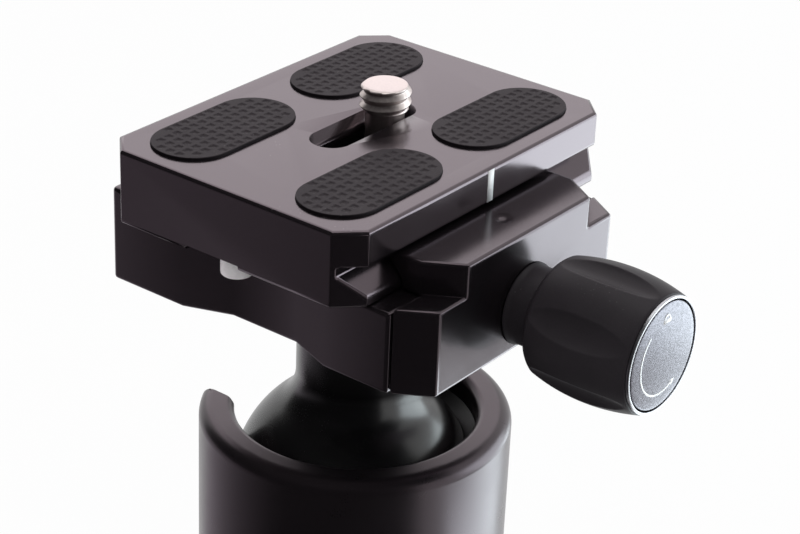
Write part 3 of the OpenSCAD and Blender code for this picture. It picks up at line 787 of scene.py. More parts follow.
def connect(tree, shader, colour, roughness, normal):
    """Links a shader's colour, roughness and normal."""
    for name, source in (("Base Color", colour), ("Roughness", roughness), ("Normal", normal)):
        tree.links.new(source, shader.inputs[name])


def rgba(channels):
    """A colour property as the four numbers that a socket takes."""
    return (*channels, 1.0)


def coated(name, tint, roughness, tone=0.15, uneven=0.05, grain=6000.0, height=0.000006,
           ring_height=0, dust=0.5, **constants):
    """Black coated metal or matt plastic: grain, a little dust and, on turned parts, rings.
    Both heights are in metres."""
    material, tree, shader = new_material(name, constants)
    grained = group_node(tree, "Blasted Grain", {
        "Colour": rgba(tint), "Tone": tone, "Roughness": roughness, "Unevenness": uneven,
        "Grain Scale": grain, "Grain Height": height})
    dusty = group_node(tree, "Settled Dust", {
        "Colour": grained["Colour"], "Roughness": grained["Roughness"], "Amount": dust})
    normal = grained["Normal"]
    if ring_height:
        normal = group_node(tree, "Turning Marks", {
            "Normal": normal, "Ring Height": ring_height})["Normal"]
    connect(tree, shader, dusty["Colour"], dusty["Roughness"], normal)
    return material


def bare_metal(name, tint, roughness, metallic=1.0):
    """Bare or plated metal with turning marks."""
    material, tree, shader = new_material(name, {"Metallic": metallic})
    grained = group_node(tree, "Blasted Grain", {
        "Colour": rgba(tint), "Tone": 0.12, "Roughness": roughness, "Unevenness": 0.06,
        "Grain Scale": 3000.0, "Grain Height": 0.000002})
    marks = group_node(tree, "Turning Marks", {
        "Normal": grained["Normal"], "Ring Height": 0.000004})
    uneven = maths(tree, "MULTIPLY", marks["Mark"], MARK_ROUGH)
    rough = maths(tree, "ADD", grained["Roughness"], uneven)
    connect(tree, shader, grained["Colour"], rough, marks["Normal"])
    return material


def plain_plastic(name, tint, roughness):
    """Moulded plastic with a faint texture."""
    material, tree, shader = new_material(name, {})
    grained = group_node(tree, "Blasted Grain", {
        "Colour": rgba(tint), "Tone": 0.06, "Roughness": roughness, "Unevenness": 0.05,
        "Grain Scale": 2500.0, "Grain Height": 0.00001})
    connect(tree, shader, grained["Colour"], grained["Roughness"], grained["Normal"])
    return material


def sparkling_cap(name, tint):
    """Grey metal paint with flakes: each flake's brightness is painted into the colour at random as
    a painted glint, and a fine bump and uneven roughness add real sparkle.
    """
    material, tree, shader = new_material(name, {"Metallic": 0.75, "IOR": 1.6})
    place = add(tree, "ShaderNodeTexCoord").outputs["Object"]
    flake = add(tree, "ShaderNodeTexVoronoi", {"Vector": place, "Scale": 6500.0})
    tilt = add(tree, "ShaderNodeTexNoise", {"Vector": place, "Scale": 5200.0, "Detail": 2.0})
    # Painted glints: a random brightness for each flake is painted into the colour
    bright = maths(tree, "MULTIPLY", flake.outputs["Color"], FLAKE_GLINT_SWING)
    lit = maths(tree, "ADD", FLAKE_DARK, bright)
    rough = add(tree, "ShaderNodeMapRange", {"Value": tilt.outputs["Fac"], "To Min": 0.2,
                                             "To Max": 0.36})
    bump = add(tree, "ShaderNodeBump", {"Height": tilt.outputs["Fac"], "Distance": 0.000012})
    connect(tree, shader, scaled(tree, tuple(tint), lit), rough.outputs["Result"],
            bump.outputs["Normal"])
    return material


# Each finish: how it is made, the colour that it takes and its other values
RING_HEIGHT = 3e-7
COAT_TINT = {"Specular Tint": (1, 0.80, 0.90, 1)}
FINISHES = {
    "Black Body": (coated, "anodised", {"roughness": 0.30, "height": 2e-6,
                                        "ring_height": RING_HEIGHT, "dust": 0.2, "IOR": 1.62,
                                        **COAT_TINT}),
    "Black Clamp": (coated, "anodised", {"roughness": 0.19, "height": 1.5e-6, "dust": 0.2,
                                         "IOR": 1.68, **COAT_TINT}),
    "Black Plate": (coated, "plate", {"roughness": 0.19, "height": 1.5e-6, "dust": 0.3,
                                      "IOR": 1.85, **COAT_TINT}),
    "Smooth Ball": (coated, "ball", {"roughness": 0.26, "tone": 0.05, "uneven": 0.03,
                                     "height": 1e-6, "ring_height": RING_HEIGHT, "dust": 0.1,
                                     "IOR": 1.62}),
    "Matt Knob": (coated, "knob", {"roughness": 0.42, "tone": 0.2, "uneven": 0.06, "height": 8e-6,
                                   "dust": 0.2, "IOR": 1.22}),
    "Black Ring": (coated, "ball", {"roughness": 0.38, "IOR": 1.5}),
    "Rubber": (coated, "rubber", {"roughness": 0.6, "tone": 0.25, "grain": 4000.0, "height": 2e-5,
                                  "dust": 0.3, "IOR": 1.36, **COAT_TINT}),
    "Grey Cap": (sparkling_cap, "cap", {}),
    "Bright Rim": (bare_metal, "rim", {"roughness": 0.28}),
    "Nickel": (bare_metal, "nickel", {"roughness": 0.34}),
    "Bright Zinc": (bare_metal, "zinc", {"roughness": 0.4, "metallic": 0.2}),
    "Steel": (bare_metal, "steel", {"roughness": 0.28}),
    "Brass": (bare_metal, "brass", {"roughness": 0.27}),
    "Sliding Plastic": (plain_plastic, "plastic", {"roughness": 0.4}),
    "White Ink": (plain_plastic, "ink", {"roughness": 0.5}),
}


def finish(name):
    """The material of that name, made when it is first asked for."""
    make, paint, values = FINISHES[name]
    colours = bpy.context.scene.head_colours
    return bpy.data.materials.get(name) or make(name, getattr(colours, paint), **values)


# ---- shapes of the pieces ----

def turned_mesh(name, rows, turn=UPRIGHT, place=(0, 0, 0)):
    """A piece of rings, with as many faces round it as the panel says."""
    steps = bpy.context.scene.head_sizes.round_steps
    return mesh_piece(name, *rings(rows, turn, place, steps))


def turned(name, profile, material, slot, body, *nodes, soft=TURNED_EDGE, turn=UPRIGHT,
           place=(0, 0, 0)):
    """A lathe-turned piece with its sharp corners rounded off."""
    piece = turned_mesh(name, softened(profile, soft), turn, place)
    flat_faces(piece)
    dress(piece, material, slot, body, *nodes)


def rod(radius, low, high, turn=UPRIGHT, place=(0, 0, 0), sides=64):
    """A plain round bar, for cutting bores."""
    return prism(arc(0, 0, radius, 0, 360, sides)[:-1], low, high, turn, place)


def together(*shapes):
    """Several shapes as one."""
    points = []
    faces = []
    for more_points, more_faces in shapes:
        start = len(points)
        points += list(more_points)
        faces += [[start + i for i in face] for face in more_faces]
    return points, faces


def least(a, b, blend_width):
    """The lesser of two values, with a soft change from one to the other."""
    near = max(blend_width - abs(a - b), 0) / blend_width
    return min(a, b) - near * near * blend_width / 4


def flute_at(angle, far, radius, first, count=6):
    """Distance from a knob's axis to the nearest flute, at an angle."""
    step = 2 * math.pi / count
    off = (angle - first + step / 2) % step - step / 2
    inside = radius ** 2 - (far * math.sin(off)) ** 2
    if inside <= 0:
        return far
    return far * math.cos(off) - math.sqrt(inside)


def knob_rows(size, blend_width):
    """Rows of a fluted knob, from its foot to the floor of the recess for its cap."""
    r, long, end_r = size["r"], size["long"], size["end_r"]
    bulge = ((long / 2) ** 2 + (r - end_r) ** 2) / (2 * (r - end_r))
    far = r + size["flute_r"] - size["flute_deep"]

    def side(height, inset=0.0):
        belly = r - bulge + math.sqrt(bulge ** 2 - (height - long / 2) ** 2) - inset

        def at(angle):
            flute = flute_at(angle, far, size["flute_r"], size["first"]) - inset
            return least(belly, flute, blend_width)

        return at

    top = long - size["rim_h"]
    rise = top - KNOB_NECK - KNOB_LIP
    rows = [(0, 0), (KNOB_FACE * end_r, 0)]
    rows += [(side(KNOB_NECK * t, KNOB_FOOT * (1 - t)), KNOB_NECK * t * t) for t in FOOT_SHARES]
    heights = [KNOB_NECK + rise * k / KNOB_ROWS for k in range(KNOB_ROWS + 1)]
    rows += [(side(height), height) for height in heights]
    lip_in = KNOB_LIP * LIP_SHARE
    rows += [(side(top, lip_in), top - lip_in), (side(top, KNOB_LIP), top)]
    rows += [(size["cap_r"], top), (size["cap_r"], long - CAP_DEEP), (0, long - CAP_DEEP)]
    return rows


def dome(radius, height, at):
    """Height of a shallow dome above its edge, at a distance from its middle."""
    ball = (radius ** 2 + height ** 2) / (2 * height)
    return math.sqrt(ball ** 2 - at ** 2) - ball + height


# ---- operators ----

class HEAD_OT_base(bpy.types.Operator):
    """Base disc with its spindle, the groove round it and the hole for the thread insert"""
    bl_idname = "ball_head.base"
    bl_label = "Base"

    def execute(self, context):
        top = levels("pan_thrust_washer")[0].z
        insert = levels("base_thread_insert")[1]
        spindle_top = levels("pan_base")[1].z
        groove_r = LOCK_PAD_LOW.x - FIT
        groove_low = PAN_LOCK_Z - GROOVE_W / 2
        groove_high = PAN_LOCK_Z + GROOVE_W / 2
        turned("base_disc", [
            (0, insert.z + SEAT), (insert.x + SEAT, insert.z + SEAT), (insert.x + SEAT, 0),
            (BASE_R, 0), (BASE_R, BASE_SIDE_H), (BODY_R, top - BASE_TOP), (BODY_R - BASE_TOP, top),
            (SPINDLE_R, top), (SPINDLE_R, groove_low), (groove_r, groove_low),
            (groove_r, groove_high), (SPINDLE_R, groove_high), (SPINDLE_R, spindle_top),
            (0, spindle_top),
        ], "Black Body", "base_black", "base", "pan_base")
        return {"FINISHED"}


class HEAD_OT_body(bpy.types.Operator):
    """Socket body: turned shell with a round rim, the drop notch and its bores"""
    bl_idname = "ball_head.body"
    bl_label = "Socket Body"

    def execute(self, context):
        foot, rim = BODY_LOW.z, BODY_HIGH.z
        spindle_room = levels("pan_base")[1].z + HOLE_END
        shoulder = levels("upper_seat_ring")[1].z + SEAT
        profile = [(0, spindle_room), (SPINDLE_R + FIT, spindle_room), (SPINDLE_R + FIT, foot),
                   (BODY_R, foot)]
        profile += arc(BODY_R - RIM_ROUND, rim - RIM_ROUND, RIM_ROUND, 0, 90)
        profile += [(MOUTH_R + RIM_BEVEL, rim), (MOUTH_R, rim - RIM_BEVEL), (MOUTH_R, shoulder),
                    (BORE_R, shoulder), (BORE_R, CUP_ROOM_Z)]
        rows = softened(profile, TURNED_EDGE) + [(0, CUP_ROOM_Z)]
        piece = turned_mesh("socket_shell", rows)
        half = NOTCH_W / 2
        notch = arc(-BALL_Z, 0, half, -90, 90, 36) + [(-rim - OVER, half), (-rim - OVER, -half)]
        bush = levels("lock_bush")
        cuts = [
            prism(notch, -BODY_R - OVER, 0, TO_X),
            rod(PLUNGER_R + FIT, -PLUNGER_HIGH.y - OVER, BODY_R + OVER, TO_FRONT, (0, 0, LOCK_Z)),
            rod(bush[1].x + SEAT, -bush[1].y, BODY_R + OVER, TO_FRONT, (0, 0, LOCK_Z)),
            prism(plan_box(-FOOT_ROOM_X, -FOOT_ROOM_Y, FOOT_ROOM_X, FOOT_ROOM_Y), LOCK_Z,
                  CUP_ROOM_Z + OVER),
            rod(PAD_SCREW_R + FIT, PAD_BORE_FROM, BODY_R + OVER, TO_X, (0, 0, PAN_LOCK_Z)),
        ]
        for angle in RETAINER_ANGLES:
            turn = Matrix.Rotation(math.radians(angle), 3, "Z") @ TO_X
            cuts.append(rod(PAD_SCREW_R + SEAT, PAD_BORE_FROM, BODY_R + OVER, turn,
                            (0, 0, PAN_LOCK_Z)))
        carve(piece, cuts)
        for middle, radius in ((PAN_LOCK_Z, PAD_SCREW_R), (LOCK_Z, bush[1].x)):
            belt(piece, middle - radius - BELT, middle + radius + BELT)
        break_edges(piece, context.scene.head_sizes.edge_break / MM, inner=BODY_INNER)
        dress(piece, "Black Body", "body_black", "housing", "socket_body")
        return {"FINISHED"}


class HEAD_OT_inside(bpy.types.Operator):
    """Finishes of the pieces inside: bearings, screws, pins, springs and the ball lock"""
    bl_idname = "ball_head.inside"
    bl_label = "Inner Pieces"

    def execute(self, context):
        for material, nodes in INNER_FINISHES.items():
            for node in nodes:
                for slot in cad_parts[node].material_slots:
                    slot.material = finish(material)
        return {"FINISHED"}


class HEAD_OT_ball(bpy.types.Operator):
    """Ball, flared root and stem, turned in one piece"""
    bl_idname = "ball_head.ball"
    bl_label = "Ball"

    def execute(self, context):
        top = levels("ball_and_stem")[1].z - BALL_Z
        seat = CLAMP_LOW.z - BALL_Z - SEAT
        middle = STEM_R + ROOT_ROUND
        root = math.sqrt((BALL_R + ROOT_ROUND) ** 2 - middle ** 2)
        meet = math.degrees(math.atan2(root, middle))
        bore_floor = levels("clamp_bolt")[0].z - HOLE_END - BALL_Z
        rows = arc(0, 0, BALL_R, -90, meet, 72)
        rows[0] = (0, -BALL_R)
        rows += arc(middle, root, ROOT_ROUND, 180 + meet, 180, 12)[1:]
        rows += softened([(STEM_R, root), (STEM_R, seat), (SPIGOT_R, seat), (SPIGOT_R, top),
                          (BOLT_R + FIT, top), (BOLT_R + FIT, bore_floor), (0, bore_floor)],
                         SMALL_EDGE)[1:]
        piece = turned_mesh("ball_stem", rows, place=(0, 0, BALL_Z))
        flat_faces(piece)
        dress(piece, "Smooth Ball", "ball_black", "ball", "ball_and_stem")
        return {"FINISHED"}


class HEAD_OT_clamp(bpy.types.Operator):
    """Clamp body with its fixed side, and the moving jaw"""
    bl_idname = "ball_head.clamp"
    bl_label = "Clamp"

    def execute(self, context):
        sizes = context.scene.head_sizes
        left, right, half = CLAMP_LOW.x, CLAMP_HIGH.x, CLAMP_HIGH.y
        mouth, floor, deep = RECESS_MOUTH / 2, RECESS_FLOOR / 2, half - END_RECESS
        corner = arc(left + CLAMP_ROUND, CLAMP_ROUND - half, CLAMP_ROUND, 180, 270, 6)
        front = corner + [(-mouth, -half), (-floor, -deep), (floor, -deep), (mouth, -half),
                          (right, -half)]
        plan = front + mirrored(front)
        wall = corner + [(left + FIXED_WALL, -half), (left + FIXED_WALL, half)]
        wall += mirrored(corner)
        edge = PLATE_LOW.x - FIT
        tip = edge + FLANK - HOOK_SHORT
        slope = PLATE_LOW.z + EDGE_H + FIT
        high = CLAMP_HIGH.z
        hook = [(left, PLATE_LOW.z - OVER), (edge, PLATE_LOW.z - OVER), (edge, slope),
                (tip, slope + FLANK - HOOK_SHORT), (tip, high), (left + HOOK_CORNER, high),
                (left, high - HOOK_CORNER)]
        piece = mesh_piece("clamp_block", *prism(plan, CLAMP_LOW.z, PLATE_LOW.z))
        carve(piece, [prism(wall, PLATE_LOW.z - OVER, PLATE_LOW.z + WALL_UP),
                      prism(hook, -FIXED_HIGH_Y, FIXED_HIGH_Y, TO_FRONT)], "UNION")
        break_edges(piece, sizes.milled_edge / MM, inner=CLAMP_INNER)
        settle(piece)
        bolt = levels("clamp_bolt")
        springs = levels("jaw_springs")
        pins = levels("jaw_guide_pins")
        cuts = [
            rod(SPIGOT_R + FIT, CLAMP_LOW.z - OVER, CLAMP_LOW.z + SPIGOT_DEEP),
            rod(BOLT_R + BOLT_PLAY, CLAMP_LOW.z, PLATE_LOW.z + OVER),
            rod(bolt[1].x + BOLT_HEAD_PLAY, bolt[1].z - BOLT_HEAD_H, PLATE_LOW.z + OVER),
            rod(CLAMP_SCREW_R + FIT, levels("clamp_screw")[0].x - HOLE_END, right + OVER, TO_X,
                (0, 0, CLAMP_AXIS_Z)),
        ]
        for y in (-PIN_Y, PIN_Y):
            cuts += [rod(radius, start, right + OVER, TO_X, (0, y, CLAMP_AXIS_Z))
                     for radius, start in (
                         (PIN_R + FIT, pins[0].x - HOLE_END),
                         (springs[1].y - PIN_Y + HOLE_END, springs[0].x - SEAT))]
        bore(piece, cuts)
        dress(piece, "Black Clamp", "clamp_black", "clamp", "clamp_body")
        self.jaw(context, sizes)
        return {"FINISHED"}

    def jaw(self, context, sizes):
        """The moving jaw: a low part, a raised hook and an index dimple."""
        out = JAW_HIGH.x
        turn_x = out - JAW_T
        run = JAW_HIGH.y - JAW_LOW_Y
        edge = PLATE_HIGH.x + FIT
        tip = edge - FLANK + HOOK_SHORT
        slope = PLATE_LOW.z + EDGE_H + FIT
        high = JAW_HIGH.z
        low_part = [(turn_x, -JAW_LOW_Y - run), (out, -JAW_LOW_Y), (out, JAW_LOW_Y),
                    (turn_x, JAW_LOW_Y + run)]
        wide = JAW_HIGH_Y + run
        high_plan = [(tip - OVER, -wide), (turn_x, -wide), (out, -JAW_HIGH_Y), (out, JAW_HIGH_Y),
                     (turn_x, wide), (tip - OVER, wide)]
        hook = [(edge, PLATE_LOW.z + JAW_CLEAR), (out + OVER, PLATE_LOW.z + JAW_CLEAR),
                (out + OVER, high), (tip, high), (tip, slope + FLANK - HOOK_SHORT), (edge, slope)]
        piece = mesh_piece("moving_jaw", *prism(hook, -wide - OVER, wide + OVER, TO_FRONT))
        carve(piece, [prism(high_plan, PLATE_LOW.z - OVER, high + OVER)], "INTERSECT")
        carve(piece, [prism(low_part, JAW_LOW.z, PLATE_LOW.z + JAW_STEP)], "UNION")
        break_edges(piece, sizes.milled_edge / MM, inner=CLAMP_INNER)
        settle(piece)
        dimple = [(0, -DIMPLE_DEEP), (DIMPLE_R - DIMPLE_SLOPE, -DIMPLE_DEEP), (DIMPLE_R, 0),
                  (DIMPLE_R, OVER), (0, OVER)]
        cuts = [rod(CLAMP_SCREW_R + 3 * FIT, turn_x - OVER, out + OVER, TO_X,
                    (0, 0, CLAMP_AXIS_Z)),
                rings(dimple, place=(turn_x + DIMPLE_IN, DIMPLE_Y, high), steps=48)]
        cuts += [rod(PIN_R + SEAT, turn_x - OVER, levels("jaw_guide_pins")[1].x + SEAT, TO_X,
                     (0, y, CLAMP_AXIS_Z)) for y in (-PIN_Y, PIN_Y)]
        bore(piece, cuts)
        dress(piece, "Black Clamp", "clamp_black", "jaw", "clamp_jaw")


class HEAD_OT_knobs(bpy.types.Operator):
    """Fluted knobs with their bright rims and grey caps, and the clamp knob's collar"""
    bl_idname = "ball_head.knobs"
    bl_label = "Knobs"

    def execute(self, context):
        for name, size in KNOBS.items():
            self.knob(context, name, size)
        collar = COLLAR_HIGH.z - CLAMP_AXIS_Z
        long = COLLAR_HIGH.x - COLLAR_LOW.x
        turned("clamp_collar", [
            (CLAMP_SCREW_R + SEAT, 0), (collar, 0), (collar - COLLAR_FOOT, 2 * COLLAR_FOOT),
            (collar - COLLAR_FOOT, long), (CLAMP_SCREW_R + SEAT, long), (CLAMP_SCREW_R + SEAT, 0),
        ], "Matt Knob", "knob_black", "clamp_knob", "clamp_knob_collar", soft=COLLAR_EDGE,
            turn=TO_X, place=(COLLAR_LOW.x, 0, CLAMP_AXIS_Z))
        return {"FINISHED"}

    def knob(self, context, name, size):
        """A knob's grip, its cap and, where it has one, its rim."""
        blend_width = context.scene.head_sizes.flute_blend / MM
        turn, place, body = size["turn"], size["place"], size["body"]
        grip = mesh_piece(name + "_grip",
                          *rings(knob_rows(size, blend_width), turn, place, KNOB_STEPS))
        flat_faces(grip)
        dress(grip, "Matt Knob", "knob_black", body, name)
        long, cap_r, end_r = size["long"], size["cap_r"], size["end_r"]
        if size["rim_h"]:
            low = long - RIM_H
            turned(name + "_ring", [(cap_r, low), (end_r, low), (end_r, long), (cap_r, long),
                                    (cap_r, low)],
                   "Bright Rim", "knob_rim", body, name + "_rim", soft=RIM_SOFT, turn=turn,
                   place=place)
        edge = cap_r - CAP_GAP
        top = long - CAP_SUNK
        rows = [(0, long - CAP_DEEP + SEAT), (edge, long - CAP_DEEP + SEAT), (edge, top - CAP_EDGE),
                (edge - CAP_EDGE, top)]
        outs = [edge * (1 - k / CAP_ROWS) for k in range(1, CAP_ROWS)]
        rows += [(out, top + dome(edge, CAP_DOME, out)) for out in outs]
        rows.append((0, top + CAP_DOME))
        turned(name + "_disc", rows, "Grey Cap", "knob_cap", body, name + "_cap", soft=CAP_SOFT,
               turn=turn, place=place)


class HEAD_OT_plate(bpy.types.Operator):
    """Dovetail plate with its lip, chamfered corners, pad recesses, slot and screw well"""
    bl_idname = "ball_head.plate"
    bl_label = "Plate"

    def execute(self, context):
        half_w = (PLATE_HIGH.x - PLATE_LOW.x) / 2
        half_l = (PLATE_HIGH.y - PLATE_LOW.y) / 2
        middle = (PLATE_X, PLATE_Y, PLATE_LOW.z)
        side = [(half_w, PLATE_T), (half_w, PLATE_T - LIP_H), (half_w - FLANK, PLATE_T - LIP_H),
                (half_w - FLANK, EDGE_H + FLANK), (half_w, EDGE_H), (half_w, 0)]
        section = side + mirrored(side, by_x=-1, by_y=1)
        corner = [(half_w, -half_l + CORNER), (half_w, half_l - CORNER), (half_w - CORNER, half_l)]
        plan = corner + [(-half_w + CORNER, half_l), (-half_w, half_l - CORNER),
                         (-half_w, -half_l + CORNER), (-half_w + CORNER, -half_l),
                         (half_w - CORNER, -half_l)]
        piece = mesh_piece("plate_block", *prism(section, -half_l, half_l, TO_FRONT, middle))
        carve(piece, [prism(plan, -OVER, PLATE_T + OVER, place=middle)], "INTERSECT")
        break_edges(piece, context.scene.head_sizes.milled_edge / MM, inner=PLATE_INNER,
                    upright=PLATE_UPRIGHT)
        settle(piece)
        well = stadium(SLOT_L - SLOT_W + WELL_W, WELL_W)
        cuts = [prism(stadium(SLOT_L, SLOT_W), -OVER, PLATE_T + OVER, place=middle),
                prism(well, -OVER, PLATE_T - PLATE_WEB, place=middle)]
        cuts += [prism(stadium(PAD_L, PAD_W), PLATE_T - PAD_DEEP, PLATE_T + OVER,
                       place=Vector(middle) + Vector(spot)) for spot in pad_places()]
        for end in (-1, 1):
            near, far = end * (half_l - RELIEF_IN), end * (half_l + OVER)
            relief = [(-RELIEF_LEFT, near), (-RELIEF_LEFT, far), (RELIEF_RIGHT, far),
                      (RELIEF_RIGHT, near)]
            cuts.append(prism(relief[::end], -OVER, RELIEF_H, place=middle))
        cuts += [rod(STOP_SHANK_R + SEAT, -OVER, STOP_DEEP + HOLE_END,
                     place=(PLATE_X, PLATE_Y + y, PLATE_LOW.z))
                 for y in (STOP_IN - half_l, half_l - STOP_IN)]
        bore(piece, cuts)
        dress(piece, "Black Plate", "plate_black", "plate", "plate_body")
        return {"FINISHED"}


def pad_places():
    """Middles of the four pads, from the middle of the plate."""
    x = (PLATE_HIGH.x - PLATE_LOW.x) / 2 - PAD_W / 2 - PAD_SIDE
    y = (PLATE_HIGH.y - PLATE_LOW.y) / 2 - PAD_L / 2 - PAD_END
    return [(sx * x, sy * y, 0) for sx in (-1, 1) for sy in (-1, 1)]


class HEAD_OT_pads(bpy.types.Operator):
    """Rubber pads with a moulded grid of small square pits"""
    bl_idname = "ball_head.pads"
    bl_label = "Pads"

    def execute(self, context):
        sizes = context.scene.head_sizes
        pitch, pit, deep = (v / MM for v in (sizes.pad_pitch, sizes.pad_pit, sizes.pad_pit_depth))
        top = PLATE_T + PAD_UP
        bottom = PLATE_T - PAD_DEEP + SEAT
        outline = stadium(PAD_L - 2 * FIT, PAD_W - 2 * FIT, 40)
        places = [Vector((PLATE_X, PLATE_Y, PLATE_LOW.z)) + Vector(spot) for spot in pad_places()]
        slabs = together(*[prism(outline, bottom, top, place=place) for place in places])
        piece = mesh_piece("pad_set", *slabs)
        break_edges(piece, PAD_EDGE)
        settle(piece)
        across = math.floor((PAD_W - 2 * PAD_MARGIN) / pitch) + 1
        along = math.floor((PAD_L - 2 * PAD_MARGIN) / pitch) + 1
        half = pit / 2
        pits = []
        for place in places:
            for i in range(across):
                for k in range(along):
                    x = (i - (across - 1) / 2) * pitch
                    y = (k - (along - 1) / 2) * pitch
                    past = max(abs(y) + half - (PAD_L - PAD_W) / 2, 0)
                    if math.hypot(abs(x) + half, past) > PAD_W / 2 - PAD_RIM:
                        continue
                    pits.append(pit_shape(place + Vector((x, y, top)), half, deep))
        carve(piece, [together(*pits)])
        flat_faces(piece)
        dress(piece, "Rubber", "pad_rubber", "plate", "plate_pads")
        return {"FINISHED"}


def pit_shape(place, half, deep):
    """A shallow square pit with sloped sides, as a solid to cut away."""
    points = []
    for reach, z in ((half * PIT_FOOT, -deep), (half + PIT_FLARE, PIT_OVER)):
        points += [place + Vector((x * reach, y * reach, z)) for x, y in plan_box(-1, -1, 1, 1)]
    faces = [[3, 2, 1, 0], [4, 5, 6, 7]]
    faces += [[i, (i + 1) % 4, 4 + (i + 1) % 4, 4 + i] for i in range(4)]
    return points, faces


class HEAD_OT_screws(bpy.types.Operator):
    """Camera screw with its rolled thread, and the two stop screws under the plate"""
    bl_idname = "ball_head.screws"
    bl_label = "Screws"

    def execute(self, context):
        self.camera_screw(context)
        self.stop_screws(context)
        return {"FINISHED"}

    def camera_screw(self, context):
        """Slotted head, thinner shank and a 1/4 inch thread."""
        sizes = context.scene.head_sizes
        low, high = levels("camera_screw")
        place = ((low.x + high.x) / 2, (low.y + high.y) / 2, low.z)
        long = high.z - low.z
        thread_low = PLATE_HIGH.z + CAMERA_NECK - low.z
        crest = CAMERA_THREAD_R
        pitch, deep = sizes.thread_pitch / MM, sizes.thread_depth / MM
        head_r = (high.x - low.x) / 2
        rows = softened([(0, 0), (head_r, 0), (head_r, CAMERA_HEAD_H),
                         (CAMERA_SHANK_R, CAMERA_HEAD_H), (CAMERA_SHANK_R, thread_low)],
                        TURNED_EDGE)

        def thread(height):
            start = min((height - thread_low) / (LEAD_LONG * pitch), 1)
            lead = max(height - (long - LEAD_LONG), 0)

            def at(angle):
                turn = (height / pitch - angle / (2 * math.pi)) % 1
                vee = abs(2 * turn - 1)
                groove = min(max((vee - THREAD_CREST) / THREAD_FLANK, 0), 1) * deep
                full = CAMERA_SHANK_R + (crest - CAMERA_SHANK_R) * start
                return min(crest - groove, full, crest - lead * LEAD_SLOPE)

            return at

        heights = [thread_low + (long - thread_low) * k / THREAD_ROWS
                   for k in range(1, THREAD_ROWS + 1)]
        rows += [(thread(height), height) for height in heights]
        rows += [(CAMERA_SHANK_R - POINT_IN, long), (0, long)]
        piece = mesh_piece("camera_screw_body", *rings(rows, place=place, steps=96))
        slot = plan_box(-head_r - OVER, -COIN_SLOT / 2, head_r + OVER, COIN_SLOT / 2)
        carve(piece, [prism(slot, -OVER, COIN_DEEP, place=place),
                      rod(hexagon(CAMERA_KEY), -OVER, CAMERA_KEY_DEEP, place=place, sides=6)])
        flat_faces(piece)
        dress(piece, "Nickel", "nickel", "camera_screw", "camera_screw")

    def stop_screws(self, context):
        """Small socket-head screws whose heads hang below the plate."""
        low, high = levels("stop_screws")
        head_r = (high.x - low.x) / 2
        head_h = PLATE_LOW.z + RELIEF_H - low.z - SEAT
        profile = softened([(0, 0), (head_r, 0), (head_r, head_h), (STOP_SHANK_R, head_h),
                            (STOP_SHANK_R, high.z - low.z), (0, high.z - low.z)],
                           SMALL_EDGE)
        half_l = (PLATE_HIGH.y - PLATE_LOW.y) / 2 - STOP_IN
        places = [(PLATE_X, PLATE_Y + side * half_l, low.z) for side in (-1, 1)]
        piece = mesh_piece("stop_screw_pair", *together(*[rings(profile, place=place, steps=64)
                                                          for place in places]))
        carve(piece, [rod(hexagon(STOP_KEY), -OVER, STOP_KEY_DEEP, place=place, sides=6)
                      for place in places])
        flat_faces(piece)
        dress(piece, "Bright Zinc", "nickel", "plate", "stop_screws")


def hexagon(across):
    """Corner radius of a hexagon of a size across its flats."""
    return across / math.sqrt(3)


class HEAD_OT_marks(bpy.types.Operator):
    """White index line on the plate's lip and turn mark on the clamp knob's cap"""
    bl_idname = "ball_head.marks"
    bl_label = "Printed Marks"

    def execute(self, context):
        wide = context.scene.head_sizes.index_width / MM
        tall = LIP_H - 2 * INDEX_INSET
        outline = plan_box(-wide / 2, -tall / 2, wide / 2, tall / 2)
        spot = (PLATE_HIGH.x, PLATE_Y + INDEX_Y, PLATE_HIGH.z - LIP_H / 2)
        along = TO_X @ Matrix.Rotation(math.radians(90), 3, "Z")
        line = mesh_piece("index_line", *prism(outline, -INK / 2, INK, along, spot))
        dress(line, "White Ink", None, "plate")
        self.turn_mark()
        return {"FINISHED"}

    def turn_mark(self):
        """An arc with an arrowhead and a small padlock on the clamp knob's cap."""
        size = KNOBS["clamp_knob"]
        edge = size["cap_r"] - CAP_GAP
        radius = MARK_AT * edge
        level = size["long"] - CAP_SUNK + dome(edge, CAP_DOME, radius)
        low, high = level - INK, level + INK
        half = MARK_W / 2
        tip = math.radians(MARK_TO)
        away = Vector((math.cos(tip), math.sin(tip)))
        ahead = Vector((-math.sin(tip), math.cos(tip)))
        arrow = [tuple(radius * away + step)
                 for step in (ARROW_HALF * away, ARROW_LONG * ahead, -ARROW_HALF * away)]
        case = plan_box(-radius, -LOCK_HALF, LOCK_TALL - radius, LOCK_HALF)
        shapes = [band(radius - half, radius + half, MARK_FROM, MARK_TO, low, high),
                  prism(arrow, low, high), prism(case, low, high),
                  band(SHACKLE_R, SHACKLE_R + MARK_W, 90, 270, low, high, (-radius, 0))]
        turned_shapes = [([size["turn"] @ Vector(p) + Vector(size["place"]) for p in points], faces)
                         for points, faces in shapes]
        mark = mesh_piece("turn_mark", *together(*turned_shapes))
        dress(mark, "White Ink", None, "clamp_knob")


def band(inner, outer, start, end, low, high, middle=(0, 0), steps=48):
    """A flat curved strip between two radii and two angles in degrees, as a closed solid."""
    points = []
    for k in range(steps + 1):
        a = math.radians(start + (end - start) * k / steps)
        points += [(middle[0] + r * math.cos(a), middle[1] + r * math.sin(a), z)
                   for r, z in ((inner, low), (outer, low), (outer, high), (inner, high))]
    faces = [[4 * k + j, 4 * k + (j + 1) % 4, 4 * k + 4 + (j + 1) % 4, 4 * k + 4 + j]
             for k in range(steps) for j in range(4)]
    faces += [[3, 2, 1, 0], [4 * steps + j for j in range(4)]]
    return points, faces


